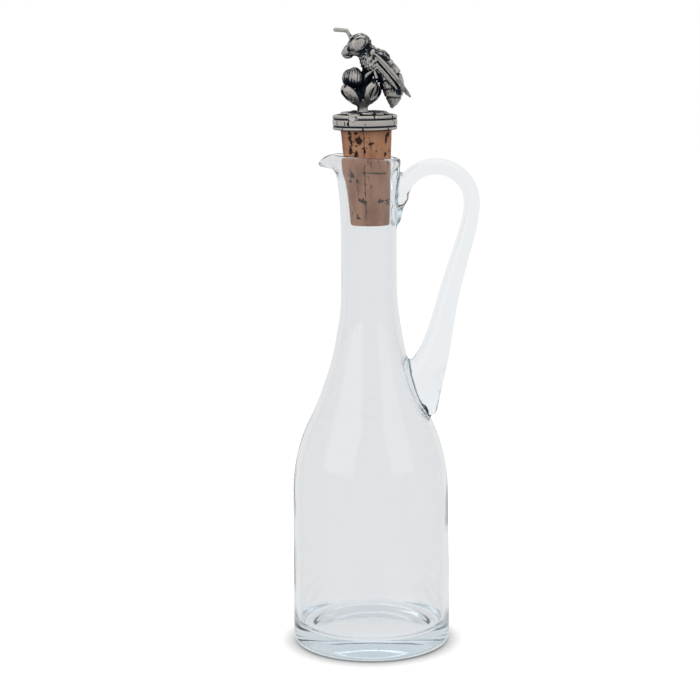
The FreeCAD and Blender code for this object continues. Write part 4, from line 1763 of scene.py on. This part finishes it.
@dataclass
class PewterCap:
    """The turned cap with its grooves, its wreath of leaves and one leaf folded over."""

    radius: float = 14.1
    height: float = 6.5
    base_z: float = 229.843
    centre_x: float = -1.316
    top_r: float = 13.1
    bead_h: float = 1.6
    band_h: float = 3.25
    groove_w: float = 0.55
    groove_d: float = 0.45
    leaves: int = 9
    leaf_l: float = 8.8
    leaf_w: float = 5.4
    leaf_ring_r: float = 7.3
    leaf_sweep_deg: float = 38.0
    fold_deg: float = 248.0
    fold_drop: float = 1.7
    fold_w: float = 5.0
    berries: int = 14
    berry_ring_r: float = 4.1
    berry_turn_deg: float = 9.0
    around: int = 300
    pitch: float = 0.2

    def outline(self) -> Array:
        """The cap's side from its foot to its top, as (r, z) points.

        Returns:
            The points, one a row.
        """
        def ring(low: float, high: float, proud: float, count: int) -> Array:
            """A slightly rounded moulding between two heights.

            Args:
                low: where it starts.
                high: where it ends.
                proud: how far it stands past the cap's side.
                count: how many points.

            Returns:
                The points as (r, z).
            """
            z = np.linspace(low, high, count)
            share = (z - low) / (high - low) * 2 - 1
            return np.stack([self.radius - self.groove_d + (self.groove_d + proud)
                             * (1 - share ** 6), z], 1)
        half = self.groove_w / 2
        low, high = self.bead_h, self.bead_h + self.band_h
        step = self.radius - self.top_r
        crown = arc_points((self.top_r, self.height - step), step, -5, 90, 12)
        return chain(
            np.array([[0.05, 0.0], [self.radius - 1.2, 0.0], [self.radius - 0.5, 0.08]]),
            ring(0.2, low - half, -0.02, 16), ring(low + half, high - half, 0.0, 26),
            ring(high + half, self.height - step, -0.02, 8), crown,
            line_points((self.top_r, self.height), (self.top_r - 0.6, self.height - 0.05), 3),
            line_points((self.top_r - 0.6, self.height - 0.05), (0.05, self.height - 0.25), 18))

    def disc(self) -> Piece:
        """The turned body of the cap, with small casting faults, and painted shade under it and
        round the wreath.

        Returns:
            The object.
        """
        line = self.outline()
        turn = np.linspace(0, 2 * math.pi, self.around, endpoint=False)
        r, z = np.repeat(line[:, :1], self.around, 1), np.repeat(line[:, 1:], self.around, 1)
        places = np.stack([r * np.cos(turn), r * np.sin(turn), z], -1)
        flat = places.reshape(-1, 3)
        side = smooth_step(self.radius - 1.0, self.radius - 0.5, r)
        faults = smooth_step(0.42, 0.75, grain(flat * (1, 1, 0.35), 1.0, 21)).reshape(r.shape)
        dents = (0.05 * grain(flat, 1.5, 4)).reshape(r.shape)
        sink = side * (0.22 * faults + 0.05 + dents)
        scale = (r - sink) / np.maximum(r, 0.1)
        places[..., 0] *= scale
        places[..., 1] *= scale
        # Grooves and casting faults get hollow values, which darken them as tarnish and as
        # painted shade.
        groove = np.zeros_like(z)
        for height in (self.bead_h, self.bead_h + self.band_h):
            groove = np.maximum(groove, 1 - smooth_step(0.2, 0.55, np.abs(z - height)))
        groove = groove * side
        # Painted shade: the cap's underside and its top face round the wreath are darkened
        # through the hollow value.
        under = (1 - smooth_step(0.15, 0.6, z)) * 0.8
        wreath = smooth_step(self.height - 0.5, self.height - 0.2, z)
        wreath = wreath * (1 - smooth_step(self.top_r - 1.2, self.top_r - 0.2, r)) * 0.85
        hollow = np.maximum.reduce([groove, under, wreath, faults * side * 0.9])
        verts, faces = ring_solid(places)
        # Painted shade: the middle points under the cap and on its top take hollow values of 0.6
        # and 0.9.
        level = np.concatenate([hollow.ravel(), [0.6, 0.9]])
        return write_mesh("cap_disc", verts + (self.centre_x, 0, self.base_z), faces, level)

    def leaf(self, turn_deg: float, lift: float, seed: int) -> Blade:
        """One leaf of the wreath, lying on the cap.

        Args:
            turn_deg: where it lies round the cap.
            lift: how much higher than its neighbours.
            seed: varies its shape a little.

        Returns:
            The leaf as a form.
        """
        dice = np.random.default_rng(seed)
        along, _ = bearing(turn_deg + 90 + self.leaf_sweep_deg + dice.uniform(-5, 5))
        middle = bearing(turn_deg)[0] * (self.leaf_ring_r - 0.1)
        half = self.leaf_l / 2 * dice.uniform(0.94, 1.0)
        middle[2] = self.height + 0.55 + lift

        def veins(share: Array, across: Array, up: Array) -> Array:
            """A sunk midrib with slanting side veins.

            Args:
                share: share of the length.
                across: share of the half width.
                up: height over the plate; not used.

            Returns:
                The height of the relief at each place.
            """
            rib = -0.26 * np.exp(-(across / 0.13) ** 2)
            side = 0.09 * np.sin((share * 7.5 - np.abs(across) * 1.3) * 2 * math.pi)
            return rib + side * smooth_step(0.1, 0.35, np.abs(across))
        low, high = middle - along * half, middle + along * half
        low[2] -= 0.25
        high[2] += 0.1
        return Blade(low, high, np.cross((0, 0, 1), along), self.leaf_w / 2, 0.95,
                     belly=0.46, cup=-0.55, bend=0.25, blunt=0.75, relief=veins)

    def wreath(self) -> Piece:
        """The ring of leaves and the folded leaf.

        Returns:
            The object.
        """
        clay = Sculpt(np.array([-14.8, -14.8, 3.4]), np.array([14.8, 14.8, 8.7]), self.pitch)
        for i in range(self.leaves):
            clay.add(self.leaf(360 * i / self.leaves, 0.3 * (i % 2), 40 + i), 0.1)
        for i in range(self.berries):
            turn = math.radians(360 * i / self.berries + self.berry_turn_deg)
            berry = (math.cos(turn) * self.berry_ring_r, math.sin(turn) * self.berry_ring_r,
                     self.height + 0.35)
            clay.add(Blob(berry, (0.85, 0.85, 0.7)), 0.1)
        out, around = bearing(self.fold_deg)

        def crease(share: Array, across: Array, up: Array) -> Array:
            """A line down the middle of the folded leaf."""
            return -0.2 * np.exp(-(across / 0.14) ** 2) + 0.05 * np.cos(across * 12)
        bend = out * (self.radius - 0.55)
        top = out * (self.leaf_ring_r + 0.4) + (0, 0, self.height + 0.6)
        edge = bend + (0, 0, self.height + 0.1)
        clay.add(Blade(top, edge + out * 0.3, around, self.fold_w / 2, 0.9, belly=0.72,
                       cup=-0.3, blunt=0.5, relief=crease), 0.2)
        low = out * (self.radius - 0.02) + (0, 0, self.height - self.fold_drop - 1.1)
        clay.add(Blade(edge + (0, 0, 0.15), low, around, self.fold_w / 2, 0.75, belly=0.36,
                       cup=-0.45, blunt=0.7, relief=crease), 0.5)
        return clay.cast("cap_wreath", np.array([self.centre_x, 0, self.base_z]))

    def build(self, finish: CastPewter) -> list[Piece]:
        """The cap's pieces, dressed in one finish.

        Args:
            finish: the pewter to dress them in.

        Returns:
            The disc and the wreath.
        """
        pieces = [self.disc(), self.wreath()]
        pewter = finish.material()
        for piece in pieces:
            settle(piece, Node.CAP, pewter)
        return pieces


# ---- the figure


@dataclass
class Blossom:
    """Stem, calyx, cupped petals and the fluted bud, in the figure's own places."""

    axis_x: float = -1.0
    stem_h: float = 3.4
    # Each petal's direction in degrees, its tip's reach and height, its split, half its width.
    petals: tuple[tuple[float, ...], ...] = (
        (216, 10.3, 12.6, 0.0, 4.2), (318, 7.5, 14.3, 1.3, 3.9), (30, 8.4, 11.8, 0.0, 3.9),
        (88, 8.6, 12.4, 0.7, 4.0), (148, 9.0, 12.4, 0.0, 4.0))

    def petal(self, yaw_deg: float, tip_out: float, tip_h: float, split: float,
              width: float) -> Blade:
        """One petal, hollow on its outer face, with a raised rim.

        Args:
            yaw_deg: the direction in which it leans.
            tip_out: how far its tip is from the axis.
            tip_h: how high its tip is.
            split: depth of the groove down its middle.
            width: half its width.

        Returns:
            The petal as a form.
        """
        out, around = bearing(yaw_deg)
        root = np.array([self.axis_x, 0, 4.0]) + out * 0.7
        tip = np.array([self.axis_x, 0, tip_h]) + out * tip_out

        def fold(share: Array, across: Array, up: Array) -> Array:
            """A raised rim, fine veins and, where it has one, a split.

            Args:
                share: share of the length.
                across: share of the half width.
                up: height over the plate; not used.

            Returns:
                The height of the relief at each place.
            """
            reach = np.abs(across)
            bowl = (reach / 0.74) ** 2 + ((share - 0.66) / 0.27) ** 2
            dish = -0.85 * (1 - smooth_step(0.75, 1.1, bowl))
            rim = 0.22 * np.exp(-((bowl - 1.35) / 0.3) ** 2)
            veins = 0.14 * np.cos(across * 17) * (1 - smooth_step(0.6, 1.0, bowl))
            outer = 0.10 * np.cos(across * 14 + share * 3) * smooth_step(1.5, 2.2, bowl)
            middle = -split * np.exp(-((across + 0.12) / 0.13) ** 2)
            return rim + dish + veins + outer + middle * smooth_step(0.3, 0.5, share)
        return Blade(root, tip, around, width, 2.7, belly=0.62, cup=0.7, bend=-1.0,
                     blunt=0.6, relief=fold)

    def bud(self, centre: Sequence[float], radii: Sequence[float], turn: float) -> Blob:
        """A lobe of the bud with flutes from foot to crown.

        Args:
            centre: its middle.
            radii: its three radii.
            turn: where its flutes start.

        Returns:
            The lobe as a form.
        """
        def flutes(up: Array, across: Array, deep: Array) -> Array:
            """Upright flutes that run together at the crown.

            Args:
                up: place along the lobe.
                across: place across it.
                deep: place square to both.

            Returns:
                The height of the relief at each place.
            """
            around = np.arctan2(deep, across) + turn
            waist = 1 - smooth_step(0.7, 1.0, np.abs(up) / radii[0])
            return (0.22 * np.cos(around * 17) - 0.05) * waist
        return Blob(centre, radii, along=(0.08, 0, 1), relief=flutes)

    def add_to(self, clay: Sculpt) -> None:
        """Models the blossom.

        Args:
            clay: the sculpt that takes the forms in.
        """
        x = self.axis_x
        def bark(share: Array, across: Array, deep: Array) -> Array:
            """Upright furrows in the stem."""
            return 0.16 * np.cos(np.arctan2(deep, across) * 9 + share * 2)
        clay.add(Bar((x, 0, -0.5), (x, 0, self.stem_h + 0.6), 2.35, 2.0, relief=bark), 0.4)
        clay.add(Bar((x, 0, -0.3), (x, 0, 0.5), 3.1, 2.4, relief=bark), 0.8)
        clay.add(Bar((x, 0, self.stem_h - 0.8), (x, 0, 6.2), 1.9, 3.9, relief=bark), 0.6)
        clay.add(Bar((x + 0.3, 0.9, 6.0), (x + 2.2, 1.6, 17.5), 3.1, 2.7), 0.8)
        for petal in self.petals:
            clay.add(self.petal(*petal), 0.35)
        clay.add(self.bud((-6.7, -0.6, 15.6), (3.9, 3.6, 2.9), 0.3), 0.2)
        clay.add(self.bud((-4.4, -1.2, 15.6), (4.5, 4.3, 3.5), 1.1), 0.2)
        clay.add(Blob((-4.3, -0.9, 19.0), (1.2, 1.9, 2.0)), 0.5)


@dataclass
class Bee:
    """The bee's body, head, wings and legs, in the figure's own places."""

    thorax: Triple = (4.1, 0.0, 22.6)
    thorax_r: float = 5.75
    head: Triple = (-1.8, 0.0, 29.8)
    eye_tilt_deg: float = 32.0
    band_count: int = 6
    band_r: tuple[float, ...] = (4.6, 5.2, 5.5, 5.5, 4.9, 3.7, 1.1)
    band_step: float = 3.55
    last_step: float = 4.4
    band_points: int = 7
    first_deg: float = -30.0
    curl_deg: float = 12.5
    wing_l: float = 25.2
    wing_sweep_deg: float = -49.5
    hind_wing_l: float = 17.0
    # The knee and the toe of each leg on the +Y side, from the middle of the thorax.
    legs: tuple[tuple[Triple, Triple], ...] = (
        ((-3.4, 4.3, -6.0), (-4.6, 2.0, -9.6)), ((1.0, 4.8, -6.6), (-2.0, 2.2, -11.0)))

    @staticmethod
    def hair(size: float, high: float, seed: int) -> Relief:
        """Tufts of cast hair that run along a form.

        Args:
            size: how wide a tuft is.
            high: how high it stands.
            seed: picks one pattern.

        Returns:
            The relief.
        """
        def tufts(along: Array, across: Array, deep: Array) -> Array:
            """Ridges that wander a little.

            Args:
                along: place along the form.
                across: place across it.
                deep: place square to both.

            Returns:
                The height of the relief at each place.
            """
            turn = np.arctan2(deep, across)
            reach = np.hypot(across, deep)
            places = np.stack([along * 0.5, across, deep], 1)
            wander = grain(places, 1.6, seed)
            ridge = np.cos(turn * reach / size * 2 * math.pi * 0.5 + wander * 3.2
                           + along * 0.7)
            rows = np.cos(along / (size * 2.6) * 2 * math.pi + wander * 4)
            return high * (0.62 * ridge + 0.38 * rows - 0.25)
        return tufts

    def path(self) -> tuple[Array, Array]:
        """The curling line of the abdomen and its radius at each point.

        Returns:
            The points, and the radius at each.
        """
        heading, centre = self.first_deg, np.array(self.thorax)
        fine = self.band_points
        places, radii = [], []
        total = self.band_count * fine
        for i in range(total + 1):
            turn = math.radians(heading)
            places.append(centre)
            band = i / fine
            low = min(int(band), self.band_count - 1)
            share = band - low
            plain = self.band_r[low] + (self.band_r[low + 1] - self.band_r[low]) * share
            radii.append(plain)
            heading -= self.curl_deg / fine
            step = self.band_step if band < self.band_count - 1 else self.last_step
            centre = centre + np.array([math.cos(turn), 0, math.sin(turn)]) * step / fine
        return np.array(places), np.array(radii)

    def bands(self, place: Array, side: Array, away: Array) -> Array:
        """Overlapping plates: each grows towards its rear edge and steps in behind it.

        Args:
            place: share of the way to the tip.
            side: angle round the body.
            away: distance from the plain surface; not used.

        Returns:
            The height of the relief at each place.
        """
        band = place * self.band_count + 0.25
        share = band - np.floor(band)
        scallop = 0.05 * np.cos(side * 6)
        plate = 0.5 * share ** 1.5 - 0.35
        step = -0.75 * np.exp(-((share - 0.03) / 0.07) ** 2)
        step = step - 0.55 * np.exp(-((share - 1.0) / 0.05) ** 2)
        down = 0.16 * np.cos(side * 26 + np.floor(band) * 2.1) * (1 - share) * (share > 0.06)
        close = 1 - smooth_step(0.93, 1.0, place)
        return (plate + step + scallop + down) * close

    def wing(self, side: int, low: bool) -> Blade:
        """A lancet wing with a strong midrib.

        Args:
            side: -1 or 1 in y.
            low: True for the hind wing.

        Returns:
            The wing as a form.
        """
        sweep = math.radians(self.wing_sweep_deg + (1.5 if low else 0))
        splay = math.radians(7) * side
        along = np.array([math.cos(sweep) * math.cos(splay), math.sin(splay),
                          math.sin(sweep) * math.cos(splay)])
        root = np.array(self.thorax) + (-0.7, side * 4.6, 3.9)
        length = self.wing_l
        if low:
            root = root + (-0.5, -side * 0.3, -3.2)
            length = self.hind_wing_l
        roll = math.radians(42)
        upward = np.array([-math.sin(sweep), 0, math.cos(sweep)])
        across = np.array([0, side * math.cos(roll), 0]) + upward * math.sin(roll)

        def veins(share: Array, wide: Array, up: Array) -> Array:
            """A midrib and two lesser veins beside it.

            Args:
                share: share of the length.
                wide: share of the half width.
                up: height over the plate; not used.

            Returns:
                The height of the relief at each place.
            """
            rib = 0.3 * np.exp(-(wide / 0.2) ** 2)
            rest = 0.16 * np.exp(-((np.abs(wide) - 0.62) / 0.14) ** 2)
            cells = 0.06 * np.cos(share * 60 + wide * 5)
            return rib + rest + cells * smooth_step(0.2, 0.5, share) - 0.08
        return Blade(root, root + along * length, across, 1.5 if low else 2.15, 0.8,
                     belly=0.45, cup=0.3 * side, blunt=0.5, relief=veins)

    def face(self, clay: Sculpt) -> None:
        """Models the head, its muzzle, eyes and antennae.

        Args:
            clay: the sculpt that takes the forms in.
        """
        head = np.array(self.head)
        clay.add(Blob(head, (5.0, 4.7, 4.9), along=(0.6, 0, 0.8),
                      relief=self.hair(0.8, 0.34, 31)), 0.8)
        dip = np.array([-math.cos(math.radians(27)), 0.0, -math.sin(math.radians(27))])
        start = head + dip * 2.4
        clay.add(Bar(start, head + dip * 5.2, 4.1, 2.7, relief=self.hair(0.8, 0.3, 32)), 0.9)
        clay.add(Blob(head + (-5.7, 0, -2.9), (2.0, 2.3, 2.0), along=(1, 0, 0.3),
                      relief=self.hair(0.7, 0.2, 33)), 0.6)
        clay.add(Blob(head + (-6.7, 0, -3.7), (1.5, 1.7, 1.5), along=(1, 0, 0.2),
                      relief=self.hair(0.6, 0.15, 34)), 0.4)
        clay.add(Blob(head + (-5.2, 0, -4.9), (2.1, 1.8, 1.0), along=(1, 0, 0.1),
                      relief=self.hair(0.6, 0.12, 35)), 0.3)
        clay.carve(Bar(head + (-8.0, -2.4, -4.35), head + (-8.0, 2.4, -4.35), 0.28, 0.28), 0.3)
        clay.carve(Bar(head + (-5.2, -2.5, -4.3), head + (-8.0, -1.5, -4.35), 0.26, 0.26), 0.3)
        tilt = math.radians(self.eye_tilt_deg)
        along = (math.cos(tilt), 0.0, math.sin(tilt))
        for side in (-1, 1):
            eye = head + (-0.6, side * 4.0, 0.5)
            clay.carve(Blob(eye + (0, side * 0.9, 0), (5.05, 3.6, 1.9), along=along,
                            across=(-along[2], 0, along[0])), 0.3)

            def lens(u: Array, v: Array, w: Array) -> Array:
                """A smooth eye with a fine ring near its rim.

                Args:
                    u: place along the eye.
                    v: place across it.
                    w: place square to both; not used.

                Returns:
                    The height of the relief at each place.
                """
                reach = np.hypot(u / 4.6, v / 3.1)
                ring = -0.2 * np.exp(-((reach - 0.66) / 0.05) ** 2)
                return ring * smooth_step(-1.2, 0.2, u)
            clay.add(Blob(eye, (4.35, 2.95, 1.75), along=along,
                          across=(-along[2], 0, along[0]), relief=lens), 0.0)
            root = head + (-3.7, side * 1.6, 2.6)
            bend = head + (-5.7, side * 1.6, 6.0)
            tip = head + (-10.6, side * 1.6, 6.45)
            clay.add(Blob(root, (1.3, 1.3, 1.1)), 0.6)
            rings = self.rings
            clay.add(Bar(root, bend, 0.86, 0.76, relief=rings), 0.25)
            clay.add(Bar(bend, tip, 0.76, 0.9, relief=rings), 0.3)

    @staticmethod
    def rings(share: Array, across: Array, deep: Array) -> Array:
        """Joints along an antenna."""
        return 0.05 * np.cos(share * 40)

    def add_to(self, clay: Sculpt) -> None:
        """Models the bee.

        Args:
            clay: the sculpt that takes the forms in.
        """
        thorax, head = np.array(self.thorax), np.array(self.head)
        neck = (thorax + head) / 2 + (0.1, 0, -0.1)
        clay.add(Blob(thorax, (6.1, self.thorax_r, 5.9), along=(-0.6, 0, 0.8),
                      relief=self.hair(0.72, 0.38, 7)), 0.6)
        clay.add(Blob(neck, (3.2, 4.35, 4.3), along=(-0.63, 0, 0.77),
                      relief=self.hair(0.70, 0.38, 8)), 0.5)
        clay.add(Blob(thorax + (3.4, 0, 1.6), (3.2, 4.6, 3.9), along=(0.75, 0, 0.66),
                      relief=self.hair(0.72, 0.38, 9)), 0.3)
        places, radii = self.path()
        clay.add(Tail(places, radii, relief=self.bands), 0.15)
        self.face(clay)
        for side in (-1, 1):
            clay.add(Blob(thorax + (-0.6, side * 4.6, 3.9), (1.5, 1.2, 1.3)), 0.5)
            clay.add(self.wing(side, True), 0.1)
            clay.add(self.wing(side, False), 0.1)
            hip = thorax + (0, side * 3.2, -3.0)
            for knee, toe in self.legs:
                knee_at = thorax + (knee[0], side * knee[1], knee[2])
                toe_at = thorax + (toe[0], side * toe[1], toe[2])
                clay.add(Bar(hip, knee_at, 0.95, 0.72), 0.3)
                clay.add(Bar(knee_at, toe_at, 0.78, 0.6), 0.2)


@dataclass
class Figure:
    """The cast figure that stands on the cap."""

    foot: Triple = (-1.316, 0.0, 236.343)
    pitch: float = 0.22
    blossom: Blossom = field(default_factory=Blossom)
    bee: Bee = field(default_factory=Bee)

    def build(self, finish: CastPewter) -> Piece:
        """The bee on its blossom, cast in one.

        Args:
            finish: the pewter to dress it in.

        Returns:
            The object.
        """
        clay = Sculpt(np.array([-14.6, -10.4, -0.4]), np.array([21.4, 10.4, 38.0]), self.pitch)
        self.blossom.add_to(clay)
        self.bee.add_to(clay)
        clay.cut_below(0.0)
        piece = clay.cast("bee_on_blossom", np.array(self.foot),
                          lambda places: 0.035 * grain(places, 0.45, 77))
        settle(piece, Node.FIGURE, finish.material())
        return piece


# ---- the studio


@dataclass(frozen=True)
class Lamp:
    """A soft square lamp that looks at the middle of the object."""

    name: str
    place: Triple
    size: float
    watts: float
    aim_z: float = 170.0

    def stand(self) -> None:
        """Puts the lamp in the scene."""
        data = bpy.data.lights.new(self.name, "AREA")
        data.size = self.size * MM
        data.energy = self.watts
        lamp = bpy.data.objects.new(self.name, data)
        lamp.location = Vector(self.place) * MM
        aim = Vector((0, 0, self.aim_z * MM)) - lamp.location
        lamp.rotation_euler = aim.to_track_quat("-Z", "Y").to_euler()
        bpy.context.scene.collection.objects.link(lamp)


@dataclass
class Studio:
    """A white floor, soft lamps and the camera."""

    camera_at: Triple = (-8.7, -838.0, 281.0)
    pitch_deg: float = 10.03
    roll_deg: float = 0.53
    lens: float = 98.95
    floor_size: float = 6000.0
    floor_z: float = -0.05
    world_fill: float = 0.60
    lamps: tuple[Lamp, ...] = (Lamp("key_lamp", (-2000, -1500, 1700), 3000, 15.0),
                               Lamp("fill_lamp", (1900, -1500, 1300), 2000, 5.0),
                               Lamp("top_lamp", (60, 100, 1300), 1500, 5.0))

    def floor(self) -> Piece:
        """The floor, dressed in studio white.

        Returns:
            The object.
        """
        reach, z = self.floor_size / 2, self.floor_z
        verts = np.array([(-reach, -reach, z), (reach, -reach, z), (reach, reach, z),
                          (-reach, reach, z)])
        piece = write_mesh("studio_floor", verts, [(0, 1, 2, 3)])
        piece.data.materials.append(StudioWhite().material())
        return piece

    def world(self) -> None:
        """White where it is seen, mirrored or looked at through glass; softer as light."""
        world = bpy.data.worlds.new("studio_world")
        world.use_nodes = True
        wires = Wiring(world.node_tree)
        back = world.node_tree.nodes["Background"]
        back.inputs["Color"].default_value = (1, 1, 1, 1)
        light = wires.add("ShaderNodeLightPath")
        seen = wires.calc("MAXIMUM", light.outputs["Is Camera Ray"],
                          light.outputs["Is Glossy Ray"])
        seen = wires.calc("MAXIMUM", seen, light.outputs["Is Transmission Ray"])
        seen = wires.calc("MULTIPLY", seen, wires.mirrored(light, MIRROR_DIM))
        wires.join(wires.calc("MAXIMUM", seen, self.world_fill), back.inputs["Strength"])
        bpy.context.scene.world = world

    def camera(self) -> None:
        """The camera, a little above the object and tipped down to it."""
        data = bpy.data.cameras.new("studio_camera")
        data.lens = self.lens
        data.sensor_width = 36.0
        data.clip_end = 20.0
        camera = bpy.data.objects.new("studio_camera", data)
        turn = (Matrix.Rotation(math.radians(90 - self.pitch_deg), 4, "X")
                @ Matrix.Rotation(math.radians(-self.roll_deg), 4, "Z"))
        camera.matrix_world = Matrix.Translation(Vector(self.camera_at) * MM) @ turn
        bpy.context.scene.collection.objects.link(camera)
        bpy.context.scene.camera = camera

    def build(self) -> None:
        """Sets the whole studio up."""
        self.floor()
        self.world()
        for lamp in self.lamps:
            lamp.stand()
        self.camera()
        bpy.context.scene.view_settings.view_transform = "Standard"
        paths = bpy.context.scene.cycles
        paths.max_bounces = paths.transmission_bounces = PATH_TURNS
        paths.glossy_bounces = MIRROR_TURNS


def main() -> None:
    """Builds every sub-assembly in order."""
    logging.basicConfig(level=logging.INFO, format="%(name)s: %(message)s")
    log.info("solids loaded: %s", ", ".join(sorted(node.value for node in Node)))
    bottle = Bottle()
    GlassWork(bottle, Handle(bottle)).build()
    Stopper().build(CorkBark())
    PewterCap().build(CastPewter("cap_pewter", rubbed=(0.45, 0.43, 0.40), reach=0.36))
    Figure().build(CastPewter("figure_pewter"))
    Studio().build()


if __name__ == "__main__":
    main()
